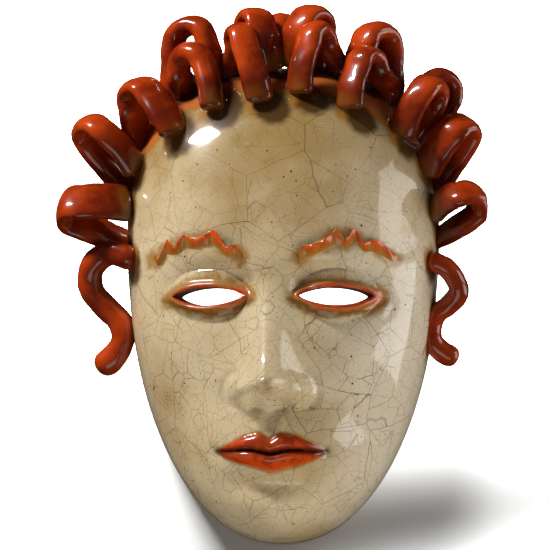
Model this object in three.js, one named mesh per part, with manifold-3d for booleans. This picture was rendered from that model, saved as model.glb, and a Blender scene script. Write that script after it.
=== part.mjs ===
// Glazed ceramic wall mask: a hollow face with rolled clay hair, fired as one piece.
// Millimetres. It lies on its flat rim, +Z out of the face, +Y to the crown, +X to the viewer's right.
import * as THREE from "three";
import { mergeVertices } from "three/addons/utils/BufferGeometryUtils.js";
import Module from "manifold-3d";

// Driving dimensions of the face, with y counted from the chin and x from its middle line
const FACE_LENGTH = 224;
const FACE_HALF = 72;
const FACE_DEPTH = 62;
const WALL = 5.5;
const JAW_TAPER = 0.14;
const CHIN_POWER = 2.2;
const CROWN_POWER = 2.6;
const SIDE_POWER = 2.2;
const JAW_POWER = 5;
const BROW_POWER = 2.6;
const RIM_FADE = 14;
const HOLLOW_SINK = 2;
const NOSE_HOLLOW = 0.7;
const SHORTEST_EDGE = 0.02;

// Middle of the whole object in the face's own frame, so that the origin is under its middle
const MIDDLE_X = -3.8;
const MIDDLE_Y = 126;

// Nose
const NOSE_TOP = 123;
const NOSE_TIP = 76;
const NOSE_BASE = 62;
const NOSE_RISE = 21;
const NOSE_NARROW = 7.5;
const NOSE_SPREAD = 3.2;

// Eyes: a slit right through the wall under each upper lid
const EYE_X = 29.3;
const EYE_Y = 114;
const SLIT_HALF = 16.5;
const SLIT_UP = 4;
const SLIT_DOWN = 4.4;
const LID_X = 18.5;
const LID_Y = 12;
const LID_SWELL = 7.2;

// Mouth
const MOUTH_Y = 44;
const MOUTH_HALF = 25.5;
const UPPER_LIP = 7.4;
const LOWER_LIP = 8.8;
const UPPER_SWELL = 4.6;
const LOWER_SWELL = 6;

// Swellings (+) and hollows (-) on both sides of the middle: height, x, y, reach in x, reach in y
const MOUNDS = {
  browRidge: [2.6, 27, 132, 21, 8],
  betweenBrows: [1.5, 0, 130, 12, 10],
  eyeSocket: [-8, 29.5, 118.5, 17, 10.5],
  innerCorner: [-3.5, 14.5, 119, 6, 8],
  noseTip: [3, 0, 73, 8, 7],
  noseWing: [7, 12.5, 71, 5.2, 5.8],
  muzzle: [5.5, 0, 47, 27, 19],
  chin: [10, 0, 15.5, 18, 13.5],
  underLip: [-3.4, 0, 29, 17, 5.5],
  cheekbone: [3.6, 45, 95, 20, 18],
  cheekHollow: [-2, 42, 57, 15, 19],
  temple: [-2.5, 61, 152, 12, 22],
};

// Rolled strands of clay hair, flattened to a strap; each loop states its own width
const STRAND_THICK = 8.6;
const HEEL_SHARE = 0.72;
const LOCK_END = 0.6;
const STRAND_SIDES = 8;
const TURN_STEPS = 4;
const LEG_BOW = 1.5;
const LOCK_STEPS = 14;
const BROW_SIDES = 4;
const HEAD_MIDDLE = new THREE.Vector3(0, 113, 0);
const FOOT_LIFT = 3.2;
const TUCK_IN = 9;
const TUCK_DOWN = 4;

// Each loop leaves the brow line at its foot, turns over its apex and comes back to the shell at its heel:
// angle from the crown in degrees, reach from the head's middle and height over the rim, which is the
// face's own where it's left out. The bend is the radius of the turn. At a lean of 0 the front leg hides
// the back leg; at 90 degrees the loop lies flat. Strands that are stouter, or broader at the heel, than the
// others state by how much.
const LOOPS = [
  { foot: [-57, 84], apex: [-66.6, 109.7, 22], heel: [-69, 85, 8], width: 20, bend: 8, lean: 34 },
  { foot: [-47.2, 91], apex: [-47.7, 122.5, 24], heel: [-52.7, 97.5, 8], width: 14.2, bend: 8, lean: 38 },
  {
    foot: [-31.3, 88.5], apex: [-33.6, 120.3, 27], heel: [-39.5, 107, 10],
    width: 17.5, bend: 8, lean: 44, heelShare: 1,
  },
  {
    foot: [-18.3, 91.5], apex: [-19.8, 122.6, 30], heel: [-24.5, 108, 14],
    width: 14, bend: 8, lean: 54, thick: 10.4, heelShare: 1,
  },
  { foot: [-4, 90.5], apex: [-8, 126, 32], heel: [-12, 112, 18], width: 14, bend: 6.5, lean: 22 },
  { foot: [6.8, 95], apex: [8.5, 126.5, 32], heel: [14.4, 112.4, 18], width: 14.5, bend: 7, lean: -35 },
  { foot: [21.5, 93.5], apex: [20, 120.5, 31], heel: [26.5, 111.5, 14], width: 15.5, bend: 7, lean: -35 },
  { foot: [37, 95], apex: [36, 123, 27], heel: [39, 106.5, 12], width: 15, bend: 7, lean: -28 },
  { foot: [48.5, 91], apex: [47, 119, 24], heel: [53, 94.5, 8], width: 16.5, bend: 7, lean: -28 },
  { foot: [59.5, 83.5], apex: [63, 104, 21], heel: [68, 80, 8], width: 16, bend: 8, lean: -46 },
];

// The second row stands behind the first: both ends are pressed on the side of the shell.
const BACK_LOOPS = [
  {
    foot: [-17, 108.5, 16], apex: [-18, 136.5, 18], heel: [-26.5, 117, 14],
    width: 14, bend: 9.5, lean: 66, thick: 10.4,
  },
  { foot: [-1, 108, 22], apex: [-5, 134, 22], heel: [-10, 120, 10], width: 16.5, bend: 7.5, lean: 36 },
  { foot: [2.5, 119, 8], apex: [0, 132.5, 8], heel: [-2.5, 119.5, 6], width: 14, bend: 6, lean: 25 },
  { foot: [2, 110, 20], apex: [7, 135.5, 20], heel: [9.5, 114, 12], width: 17, bend: 8, lean: -40 },
  {
    foot: [19.8, 110.5, 16], apex: [20, 134, 18], heel: [27.5, 113.5, 12],
    width: 18, bend: 8, lean: -46, thick: 10,
  },
  { foot: [36, 116, 14], apex: [36.2, 129.3, 15], heel: [42, 114, 9], width: 14, bend: 8, lean: -58 },
];

// Side locks, with their bends as x, y and height over the rim
const LOCKS = [
  {
    width: 13.6,
    thick: 12.4,
    bends: [
      [-66, 132, 24], [-80, 136, 19], [-89, 129, 16], [-89.5, 119, 13], [-82.5, 110.5, 11],
      [-76.5, 104, 10], [-74.8, 95.5, 10], [-80.5, 86.5, 9], [-87, 81.5, 8],
    ],
  },
  {
    width: 12.6,
    thick: 10.4,
    bends: [
      [68, 132.5, 19], [78, 127.5, 17], [83, 118, 15], [78.5, 111.5, 12], [73, 107, 11],
      [70.5, 101, 10], [71, 94.5, 10], [75.5, 89.5, 9], [82.5, 86, 8],
    ],
  },
];

// Crimped brows: a thin strip of clay pinched to a zigzag
const BROW_INNER = 13;
const BROW_OUTER = 56;
const BROW_Y = 131;
const BROW_ARCH = 8.5;
const BROW_BENDS = 9;
const BROW_ZIGZAG = 1.8;
const BROW_WIDTH = 3.4;
const BROW_HEIGHT = 6;
const BROW_STAND = 0.6;

const wasm = await Module();
wasm.setup();

const bell = (value, middle, reach) => Math.exp(-(((value - middle) / reach) ** 2));

function ease(value, low, high) {
  const t = Math.min(Math.max((value - low) / (high - low), 0), 1);
  return t * t * (3 - 2 * t);
}

// Height along the face, from -1 at the chin to 1 at the crown
function alongFace(y, inset) {
  const half = FACE_LENGTH / 2;
  return Math.min(Math.max((y - half) / (half - inset), -1), 1);
}

function halfWidth(y, inset) {
  const t = alongFace(y, inset);
  const power = t < 0 ? CHIN_POWER : CROWN_POWER;
  const round = Math.max(1 - Math.abs(t) ** power, 0) ** (1 / power);
  return (FACE_HALF - inset) * round * (1 + JAW_TAPER * t);
}

// The plain vault of the shell over its rim
function vault(x, y, inset, sink) {
  const t = alongFace(y, inset);
  const power = t < 0 ? JAW_POWER : BROW_POWER;
  const depth = (FACE_DEPTH - inset + sink) * Math.sqrt(Math.max(1 - Math.abs(t) ** power, 0));
  const across = Math.min(Math.abs(x) / Math.max(halfWidth(y, inset), 1e-6), 1);
  return depth * Math.sqrt(1 - across ** SIDE_POWER) - sink;
}

function nose(x, y) {
  const side = Math.abs(x);
  const rise = Math.min(Math.max((NOSE_TOP - y) / (NOSE_TOP - NOSE_TIP), 0), 1) ** 1.25;
  const under = 1 - ease(NOSE_TIP - y, 0, NOSE_TIP - NOSE_BASE);
  const width = NOSE_NARROW + NOSE_SPREAD * (1 - ease(y, 76, 112));
  return NOSE_RISE * rise * under * (0.72 * bell(side, 0, width) + 0.28 * bell(side, 0, 1.9 * width));
}

function mounds(x, y) {
  const side = Math.abs(x);
  return Object.values(MOUNDS).reduce(
    (sum, [height, atX, atY, reachX, reachY]) =>
      sum + height * bell(side, atX, reachX) * bell(y, atY, reachY),
    0,
  );
}

function lids(x, y) {
  const far = ((Math.abs(x) - EYE_X) / LID_X) ** 2 + ((y - EYE_Y - 0.5) / LID_Y) ** 2;
  return LID_SWELL * Math.max(1 - far, 0) ** 0.8;
}

function lips(x, y) {
  const side = Math.abs(x);
  const line = MOUTH_Y - bell(side, 0, 5) + 0.7 * bell(side, 10, 7);
  const taper = Math.max(1 - (side / MOUTH_HALF) ** 2.2, 0);
  const height = y > line ? UPPER_LIP : LOWER_LIP;
  const swell = y > line ? UPPER_SWELL : LOWER_SWELL;
  const up = Math.abs(y - line) / (height * taper + 1e-3);
  return up < 1 ? 1.6 * swell * Math.sqrt(taper * up) * (1 - up) ** 0.8 : 0;
}

// The outer face over the rim plane
function faceHeight(x, y) {
  const plain = vault(x, y, 0, 0);
  const form = mounds(x, y) + nose(x, y) + lids(x, y) + lips(x, y);
  return plain + form * ease(plain, 0, RIM_FADE);
}

// The hollow follows the broad forms and leaves the nose thicker
function hollowHeight(x, y) {
  const plain = vault(x, y, WALL, HOLLOW_SINK);
  const form = mounds(x, y) + NOSE_HOLLOW * nose(x, y);
  return plain + form * ease(plain, 0, RIM_FADE);
}

function solidOf(geometry) {
  geometry.deleteAttribute("normal");
  geometry.deleteAttribute("uv");
  const merged = mergeVertices(geometry, 1e-4);
  const index = merged.index.array;
  const kept = [];
  for (let i = 0; i < index.length; i += 3) {
    const [a, b, c] = [index[i], index[i + 1], index[i + 2]];
    if (a !== b && b !== c && a !== c) kept.push(a, b, c);
  }
  return new wasm.Manifold(
    new wasm.Mesh({
      numProp: 3,
      vertProperties: new Float32Array(merged.attributes.position.array),
      triVerts: new Uint32Array(kept),
    }),
  );
}

// Cuts leave edges far shorter than any edge of the clay: the ends of each are drawn together.
function drawnTogether(points, faces) {
  const master = Array.from({ length: points.length }, (_, i) => i);
  const find = (i) => (master[i] === i ? i : (master[i] = find(master[i])));
  for (const face of faces) {
    face.forEach((a, k) => {
      const b = face[(k + 1) % 3];
      if (points[a].distanceTo(points[b]) < SHORTEST_EDGE) master[find(b)] = find(a);
    });
  }
  const kept = new Map();
  for (const face of faces) {
    const ends = face.map(find);
    if (new Set(ends).size < 3) continue;
    const key = [...ends].sort((a, b) => a - b).join();
    if (kept.has(key)) kept.delete(key);
    else kept.set(key, ends);
  }
  return [...kept.values()];
}

function geometryOf(solid) {
  const mesh = solid.getMesh();
  const points = [];
  for (let i = 0; i < mesh.numVert; i++) {
    points.push(new THREE.Vector3().fromArray(mesh.vertProperties, i * mesh.numProp));
  }
  const faces = [];
  for (let i = 0; i < mesh.numTri; i++) faces.push([...mesh.triVerts.subarray(3 * i, 3 * i + 3)]);
  const geometry = new THREE.BufferGeometry().setFromPoints(points);
  geometry.setIndex(drawnTogether(points, faces).flat());
  geometry.computeVertexNormals();
  return geometry;
}

// Rows from chin to crown, closer where the mouth, nose and eyes need them: [from y, to y, steps]
const ROW_BANDS = [[14, 30, 3], [30, 56, 11], [56, 80, 8], [80, 102, 3], [102, 130, 9], [130, 200, 6]];
const HOLLOW_BANDS = [[24, 60, 3], [60, 84, 4], [84, 130, 5], [130, 192, 4]];
const POLE_STEPS = 4;

function rowsOf(bands, inset) {
  const rows = [];
  const [bottom, top] = [bands[0][0], bands[bands.length - 1][1]];
  for (let i = 0; i < POLE_STEPS; i++) {
    rows.push(inset + (bottom - inset) * (i / POLE_STEPS) ** 2);
  }
  for (const [from, to, steps] of bands) {
    for (let i = 0; i < steps; i++) rows.push(from + ((to - from) * i) / steps);
  }
  for (let i = POLE_STEPS; i >= 0; i--) {
    rows.push(FACE_LENGTH - inset - (FACE_LENGTH - inset - top) * (i / POLE_STEPS) ** 2);
  }
  return rows;
}

// Columns from side to side as shares of the half width, closer at the nose and mouth
function columnsOf(inner, outer) {
  const half = [];
  const share = 0.42;
  for (let i = 1; i <= inner; i++) half.push((share * i) / inner);
  const start = Math.asin(share);
  for (let i = 1; i <= outer; i++) half.push(Math.sin(start + ((Math.PI / 2 - start) * i) / outer));
  return [...half.map((s) => -s).reverse(), 0, ...half];
}

// A closed solid from a sheet of heights and the flat below it
function vaultSolid(rows, columns, inset, heightAt, floor) {
  const points = [];
  const faces = [];
  const across = columns.length;
  rows.forEach((y, r) => {
    const half = r === 0 || r === rows.length - 1 ? 0 : halfWidth(y, inset);
    columns.forEach((share, c) => {
      const edge = half === 0 || c === 0 || c === across - 1;
      const x = share * half;
      points.push(x - MIDDLE_X, y - MIDDLE_Y, edge ? floor : Math.max(heightAt(x, y), floor));
    });
  });
  for (let r = 0; r < rows.length - 1; r++) {
    for (let c = 0; c < across - 1; c++) {
      const a = r * across + c;
      faces.push(a, a + 1, a + 1 + across, a, a + 1 + across, a + across);
    }
    const a = r * across;
    const b = a + across - 1;
    faces.push(b, a, a + across, b, a + across, b + across);
  }
  const geometry = new THREE.BufferGeometry();
  geometry.setAttribute("position", new THREE.Float32BufferAttribute(points, 3));
  geometry.setIndex(faces);
  return solidOf(geometry);
}

// A closed tube through the bends of a path, with the wide side of its section along one direction
function strap(bends, { wideSide, width, thick, heelShare = 1, end = 1, steps, sides = STRAND_SIDES }) {
  const path = new THREE.CatmullRomCurve3(bends, false, "centripetal");
  const swell = 1 / Math.sqrt(Math.cos(Math.PI / sides));
  const points = [];
  const faces = [];
  for (let i = 0; i <= steps; i++) {
    const share = i / steps;
    const tangent = path.getTangent(share);
    const wide = wideSide.clone().addScaledVector(tangent, -tangent.dot(wideSide)).normalize();
    const thin = tangent.clone().cross(wide);
    const size = (i === 0 || i === steps ? end : 1) * (swell / 2);
    const slim = 1 - (1 - heelShare) * ease(share, 0.5, 0.95);
    for (let k = 0; k < sides; k++) {
      const angle = (2 * Math.PI * k) / sides;
      const point = path.getPoint(share).addScaledVector(wide, width * slim * size * Math.cos(angle));
      point.addScaledVector(thin, thick * size * Math.sin(angle));
      points.push(point.x - MIDDLE_X, point.y - MIDDLE_Y, point.z);
      const next = (k + 1) % sides;
      const [a, b] = [i * sides + k, i * sides + next];
      if (i < steps) faces.push(a, b, b + sides, a, b + sides, a + sides);
      if (i === 0 && k > 0 && next > 0) faces.push(0, b, a);
      if (i === steps && k > 0 && next > 0) faces.push(i * sides, a, b);
    }
  }
  const geometry = new THREE.BufferGeometry();
  geometry.setAttribute("position", new THREE.Float32BufferAttribute(points, 3));
  geometry.setIndex(faces);
  const solid = solidOf(geometry);
  if (solid.volume() <= 0) throw new Error("a strap is inside out");
  return solid;
}

// A place around the head, from an angle off the crown and a reach, in the face's own frame
function around([degrees, reach], z) {
  const angle = THREE.MathUtils.degToRad(degrees);
  return new THREE.Vector3(
    HEAD_MIDDLE.x + reach * Math.sin(angle),
    HEAD_MIDDLE.y + reach * Math.cos(angle),
    z,
  );
}

// The way a loop points and the way from its back leg to its front leg
function turnAxes({ foot, apex, heel, lean }) {
  const legs = around(foot, apex[2]).lerp(around(heel, apex[2]), 0.5);
  const outward = around(apex, apex[2]).sub(legs).normalize();
  const angle = THREE.MathUtils.degToRad(lean);
  const front = new THREE.Vector3(0, 0, 1);
  const apart = front.clone().multiplyScalar(Math.cos(angle));
  apart.addScaledVector(outward.clone().cross(front), Math.sin(angle));
  return { outward, apart };
}

// Foot, front leg, a round turn over the apex, back leg, heel and the end buried in the wall
function loopPoints({ foot, apex, heel, bend }, { outward, apart }) {
  const start = around(foot, foot[2] ?? 0);
  if (foot.length === 2) start.z = faceHeight(start.x, start.y) + FOOT_LIFT;
  const end = around(heel, heel[2]);
  const hub = around(apex, apex[2]).addScaledVector(outward, -bend);
  const turn = [];
  for (let i = 0; i <= TURN_STEPS; i++) {
    const angle = (Math.PI * i) / TURN_STEPS;
    const point = hub.clone().addScaledVector(apart, bend * Math.cos(angle));
    turn.push(point.addScaledVector(outward, bend * Math.sin(angle)));
  }
  const frontLeg = start.clone().lerp(turn[0], 0.5).addScaledVector(apart, LEG_BOW);
  const backLeg = end.clone().lerp(turn[TURN_STEPS], 0.5);
  const inward = HEAD_MIDDLE.clone().setZ(end.z).sub(end).normalize();
  const tuck = end.clone().addScaledVector(inward, TUCK_IN);
  tuck.z -= TUCK_DOWN;
  return [start, frontLeg, ...turn, backLeg, end, tuck];
}

function loop(sizes) {
  const axes = turnAxes(sizes);
  const bends = loopPoints(sizes, axes);
  return strap(bends, {
    wideSide: axes.outward.clone().cross(axes.apart),
    width: sizes.width,
    thick: sizes.thick ?? STRAND_THICK,
    heelShare: sizes.heelShare ?? HEEL_SHARE,
    steps: bends.length - 1,
  });
}

function sideLock({ width, thick, bends }) {
  return strap(
    bends.map((bend) => new THREE.Vector3(...bend)),
    { wideSide: new THREE.Vector3(0, 0, 1), width, thick, end: LOCK_END, steps: LOCK_STEPS },
  );
}

function brow(side) {
  const points = [];
  for (let i = 0; i <= BROW_BENDS; i++) {
    const t = i / BROW_BENDS;
    const x = side * (BROW_INNER + (BROW_OUTER - BROW_INNER) * t);
    const y = BROW_Y + BROW_ARCH * Math.sin(Math.PI * t ** 0.9) + BROW_ZIGZAG * (i % 2 ? 1 : -1);
    points.push(new THREE.Vector3(x, y, faceHeight(x, y) + BROW_STAND));
  }
  return strap(points, {
    wideSide: new THREE.Vector3(0, 0, 1),
    width: BROW_HEIGHT,
    thick: BROW_WIDTH,
    steps: 2 * BROW_BENDS,
    sides: BROW_SIDES,
  });
}

function eyeSlit(side) {
  const outline = new THREE.Shape();
  const steps = 14;
  for (let i = 0; i < 2 * steps; i++) {
    const t = i < steps ? -1 + (2 * i) / steps : 1 - (2 * (i - steps)) / steps;
    const lift = i < steps ? -SLIT_DOWN : SLIT_UP;
    const x = side * EYE_X + t * SLIT_HALF - MIDDLE_X;
    const y = EYE_Y + lift * (1 - t * t) ** 0.8 - MIDDLE_Y;
    if (i === 0) outline.moveTo(x, y);
    else outline.lineTo(x, y);
  }
  return solidOf(new THREE.ExtrudeGeometry(outline, { depth: 2 * FACE_DEPTH, bevelEnabled: false }));
}

// The strands were laid on the board with the rim, so their backs are flat at its level
function belowRim() {
  const board = new THREE.BoxGeometry(2 * FACE_LENGTH, 2 * FACE_LENGTH, FACE_DEPTH);
  return solidOf(board.translate(0, 0, -FACE_DEPTH / 2));
}

// One fired piece: shell, hair and brows joined, then hollowed from behind and pierced at the eyes
function maskSolid() {
  const outer = vaultSolid(rowsOf(ROW_BANDS, 0), columnsOf(9, 8), 0, faceHeight, 0);
  const hollow = vaultSolid(rowsOf(HOLLOW_BANDS, WALL), columnsOf(4, 4), WALL, hollowHeight, -HOLLOW_SINK);
  const hair = [...LOOPS, ...BACK_LOOPS].map(loop);
  const locks = LOCKS.map(sideLock);
  const brows = [-1, 1].map(brow);
  let body = outer;
  for (const piece of [...hair, ...locks, ...brows]) body = body.add(piece);
  // Slip fills any pocket that the fused strands close off
  const [joined, ...rest] = body.decompose().sort((a, b) => b.volume() - a.volume());
  if (rest.some((piece) => piece.volume() > 0)) throw new Error("a strand stands apart from the shell");
  body = joined;
  body = body.subtract(hollow);
  for (const side of [-1, 1]) body = body.subtract(eyeSlit(side));
  return body.subtract(belowRim());
}

const creamGlaze = new THREE.MeshStandardMaterial({
  name: "cream_crackle_glaze",
  color: 0xb5a27c,
  roughness: 0.18,
  metalness: 0,
});

const group = new THREE.Group();
const mask = new THREE.Mesh(geometryOf(maskSolid()), creamGlaze);
mask.name = "mask";
group.add(mask);

export default group;
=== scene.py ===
"""Glazed ceramic wall mask, lying face up on its rim.

A hollow earthenware face in cream crackle glaze, with slit eyes cut through the wall, crimped clay
brows, red-orange lips and lid edges, and hair of rolled clay straps bent into loops.
Every form is worked out in millimetres in the face's own frame: x from its middle line to the
viewer's right, y from the chin to the crown, z out of the face from the plane of the rim.
"""

import logging
import math
from collections.abc import Callable, Iterable
from dataclasses import dataclass, field
from enum import Enum
from functools import partial

import bmesh
import bpy
import numpy as np
from mathutils import Matrix, Vector


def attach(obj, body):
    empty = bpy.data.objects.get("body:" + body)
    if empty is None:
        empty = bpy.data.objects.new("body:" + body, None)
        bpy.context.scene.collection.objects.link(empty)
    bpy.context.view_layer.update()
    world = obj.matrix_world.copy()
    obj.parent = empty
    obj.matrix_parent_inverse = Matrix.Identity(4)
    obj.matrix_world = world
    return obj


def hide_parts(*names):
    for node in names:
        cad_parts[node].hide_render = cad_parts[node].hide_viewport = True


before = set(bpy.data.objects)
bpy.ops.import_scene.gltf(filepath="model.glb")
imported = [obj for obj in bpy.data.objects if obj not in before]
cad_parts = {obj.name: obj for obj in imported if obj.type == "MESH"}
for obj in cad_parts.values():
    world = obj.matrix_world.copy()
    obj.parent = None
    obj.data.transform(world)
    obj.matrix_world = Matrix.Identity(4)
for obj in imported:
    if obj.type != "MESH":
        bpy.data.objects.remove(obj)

Array = np.ndarray
Place = tuple[float, float, float]
Socket = bpy.types.NodeSocket
Value = Socket | float | str | tuple[float, ...]
AddNode = Callable[..., Socket]

MM = 0.001
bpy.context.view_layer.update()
CAD_NODE = "mask"
BODY = "root"
IMAGE_SIDE = 550

log = logging.getLogger("mask")


def bell(value: Array, middle: float, reach: float) -> Array:
    """A smooth bump of height 1 around a middle."""
    return np.exp(-(((value - middle) / reach) ** 2))


def ease(value: Array, low: float, high: float) -> Array:
    """A smooth step from 0 at low to 1 at high."""
    t = np.clip((value - low) / (high - low), 0, 1)
    return t * t * (3 - 2 * t)


def unit(vector: Array) -> Array:
    """The vector, or each row of vectors, at length 1."""
    return vector / np.maximum(np.linalg.norm(vector, axis=-1, keepdims=True), 1e-9)


def nearest(points: Array, path: Array, block: int = 4000) -> Array:
    """The distance from each point to the nearest point of a path.

    Args:
        points: The points, one a row.
        path: Points set closely along the path, with as many coordinates.
        block: How many points are measured at a time.

    Returns:
        One distance for each point.
    """
    found = [
        np.sqrt(((points[i : i + block, None] - path[None]) ** 2).sum(-1).min(1))
        for i in range(0, len(points), block)
    ]
    return np.concatenate(found)


@dataclass(frozen=True)
class Ripple:
    """Slow unevenness of clay worked by hand: plane waves in random directions, in mm."""

    wavelength: float
    depth: float
    seed: int
    waves: int = 10

    def at(self, points: Array) -> Array:
        """Works out the unevenness.

        Args:
            points: The points, in mm.

        Returns:
            Its height at each point, in mm.
        """
        rng = np.random.default_rng(self.seed)
        heading = unit(rng.normal(size=(self.waves, 3)))
        turns = 2 * math.pi / (self.wavelength * rng.uniform(0.75, 1.5, self.waves))
        phase = rng.uniform(0, 2 * math.pi, self.waves)
        swing = np.sin(points @ (heading * turns[:, None]).T + phase)
        return self.depth * swing.sum(-1) / math.sqrt(self.waves)


@dataclass(frozen=True)
class Mound:
    """A swelling, or with a negative height a hollow, on both sides of the middle line, in mm."""

    height: float
    x: float
    y: float
    reach_x: float
    reach_y: float

    def at(self, x: Array, y: Array) -> Array:
        """Its height at each place."""
        return self.height * bell(np.abs(x), self.x, self.reach_x) * bell(y, self.y, self.reach_y)


@dataclass(frozen=True)
class FaceForm:
    """The form of the face as heights over the plane of the rim, in mm."""

    length: float = 224.0
    half: float = 72.0
    depth: float = 62.0
    wall: float = 5.5
    jaw_taper: float = 0.14
    chin_power: float = 2.2
    crown_power: float = 2.6
    side_power: float = 2.2
    jaw_power: float = 5.0
    brow_power: float = 2.6
    rim_fade: float = 14.0
    hollow_sink: float = 2.0
    nose_hollow: float = 0.7
    middle_x: float = -3.8
    middle_y: float = 126.0

    nose_top: float = 123.0
    nose_tip: float = 76.0
    nose_base: float = 62.0
    nose_rise: float = 21.0
    nose_power: float = 1.25
    nose_narrow: float = 7.5
    nose_spread: float = 3.2
    nose_spread_top: float = 112.0
    nose_crest: float = 0.72
    nose_skirt: float = 1.9

    eye_x: float = 29.3
    eye_y: float = 114.0
    slit_half: float = 16.5
    slit_up: float = 4.0
    slit_down: float = 4.4
    slit_power: float = 0.8
    lid_x: float = 18.5
    lid_y: float = 12.0
    lid_up: float = 0.5
    lid_swell: float = 7.2
    lid_power: float = 0.8

    mouth_y: float = 44.0
    mouth_half: float = 25.5
    upper_lip: float = 7.4
    lower_lip: float = 8.8
    upper_swell: float = 4.6
    lower_swell: float = 6.0

    brow_ridge: Mound = Mound(2.6, 27, 132, 21, 8)
    between_brows: Mound = Mound(1.5, 0, 130, 12, 10)
    eye_socket: Mound = Mound(-8, 29.5, 118.5, 17, 10.5)
    inner_socket: Mound = Mound(-3.5, 14.5, 119, 6, 8)
    nose_ball: Mound = Mound(3, 0, 73, 8, 7)
    nose_wing: Mound = Mound(7, 12.5, 71, 5.2, 5.8)
    mouth_swell: Mound = Mound(5.5, 0, 47, 27, 19)
    chin: Mound = Mound(10, 0, 15.5, 18, 13.5)
    chin_fold: Mound = Mound(-3.4, 0, 29, 17, 5.5)
    cheekbone: Mound = Mound(3.6, 45, 95, 20, 18)
    under_cheek: Mound = Mound(-2, 42, 57, 15, 19)
    temple: Mound = Mound(-2.5, 61, 152, 12, 22)
    nostril: Mound = Mound(-2.4, 6.3, 64.6, 3.0, 2.2)
    mouth_corner: Mound = Mound(-1.5, 25.5, 43.5, 3, 3)

    def along(self, y: Array, inset: float = 0.0) -> Array:
        """Height along the face, from -1 at the chin to 1 at the crown."""
        return np.clip((y - self.length / 2) / (self.length / 2 - inset), -1, 1)

    def half_width(self, y: Array, inset: float = 0.0) -> Array:
        """Half the breadth of the outline.

        Args:
            y: How far up from the chin.
            inset: How far inside the outline.

        Returns:
            The half breadth at each height.
        """
        t = self.along(y, inset)
        power = np.where(t < 0, self.chin_power, self.crown_power)
        round_off = np.maximum(1 - np.abs(t) ** power, 0) ** (1 / power)
        return (self.half - inset) * round_off * (1 + self.jaw_taper * t)

    def vault(self, x: Array, y: Array, inset: float = 0.0, sink: float = 0.0) -> Array:
        """The plain vault of the shell.

        Args:
            x: How far right of the middle line.
            y: How far up from the chin.
            inset: How far inside the outline.
            sink: How much lower it starts, to rise more steeply.

        Returns:
            Its height over the rim.
        """
        t = self.along(y, inset)
        power = np.where(t < 0, self.jaw_power, self.brow_power)
        depth = (self.depth - inset + sink) * np.sqrt(np.maximum(1 - np.abs(t) ** power, 0))
        across = np.minimum(np.abs(x) / np.maximum(self.half_width(y, inset), 1e-6), 1)
        return depth * np.sqrt(1 - across**self.side_power) - sink

    def nose(self, x: Array, y: Array) -> Array:
        """The ridge of the nose, rising from between the eyes to the tip.

        Args:
            x: How far right of the middle line.
            y: How far up from the chin.

        Returns:
            Its height over the vault.
        """
        side = np.abs(x)
        rise = np.clip((self.nose_top - y) / (self.nose_top - self.nose_tip), 0, 1)
        under = 1 - ease(self.nose_tip - y, 0, self.nose_tip - self.nose_base)
        spread = 1 - ease(y, self.nose_tip, self.nose_spread_top)
        width = self.nose_narrow + self.nose_spread * spread
        crest, skirt = bell(side, 0, width), bell(side, 0, self.nose_skirt * width)
        ridge = self.nose_crest * crest + (1 - self.nose_crest) * skirt
        return self.nose_rise * rise**self.nose_power * under * ridge

    def broad(self, x: Array, y: Array) -> Array:
        """All the broad swellings and hollows together.

        Args:
            x: How far right of the middle line.
            y: How far up from the chin.

        Returns:
            Their height over the vault.
        """
        upper = (self.brow_ridge, self.between_brows, self.eye_socket, self.inner_socket)
        nose = (self.nose_ball, self.nose_wing)
        lower = (self.mouth_swell, self.chin, self.chin_fold)
        sides = (self.cheekbone, self.under_cheek, self.temple)
        return sum(mound.at(x, y) for mound in (*upper, *nose, *lower, *sides))

    def lids(self, x: Array, y: Array) -> Array:
        """The swell of the closed part of the lids over the eyeball.

        Args:
            x: How far right of the middle line.
            y: How far up from the chin.

        Returns:
            Its height over the vault.
        """
        far = ((np.abs(x) - self.eye_x) / self.lid_x) ** 2
        far = far + ((y - self.eye_y - self.lid_up) / self.lid_y) ** 2
        return self.lid_swell * np.maximum(1 - far, 0) ** self.lid_power

    def mouth_line(self, x: Array) -> Array:
        """The height of the line between the lips."""
        side = np.abs(x)
        return self.mouth_y - bell(side, 0, 5) + 0.7 * bell(side, 10, 7)

    def lip_taper(self, x: Array) -> Array:
        """How the lips thin out from 1 in the middle to 0 at the corners of the mouth."""
        return np.maximum(1 - (np.abs(x) / self.mouth_half) ** 2.2, 0)

    def lip_reach(self, x: Array, y: Array) -> Array:
        """How far the lips reach from the line between them.

        Args:
            x: How far right of the middle line.
            y: How far up from the chin, which says which lip is meant.

        Returns:
            The breadth of the upper lip over the line and of the lower lip under it.
        """
        side = np.abs(x)
        bow = 1 + 0.12 * bell(side, 5, 3) - 0.16 * bell(side, 0, 2.5)
        breadth = np.where(y > self.mouth_line(x), self.upper_lip * bow, self.lower_lip)
        return breadth * self.lip_taper(x)

    def lip_inside(self, x: Array, y: Array) -> Array:
        """How far a place lies inside the border of the lips, in mm, negative outside."""
        past_corner = np.maximum(np.abs(x) - self.mouth_half, 0)
        return self.lip_reach(x, y) - np.abs(y - self.mouth_line(x)) - past_corner

    def lips(self, x: Array, y: Array) -> Array:
        """The swell of both lips, with the crease between them.

        Args:
            x: How far right of the middle line.
            y: How far up from the chin.

        Returns:
            Its height over the vault.
        """
        line = self.mouth_line(x)
        taper = self.lip_taper(x)
        swell = np.where(y > line, self.upper_swell, self.lower_swell)
        up = np.minimum(np.abs(y - line) / (self.lip_reach(x, y) + 1e-3), 1)
        roll = 1.6 * swell * np.sqrt(taper * up) * (1 - up) ** 0.8
        crease = 1.2 * bell(y - line, 0, 1)
        return roll - crease * np.sqrt(taper) + self.mouth_corner.at(x, y)

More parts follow.
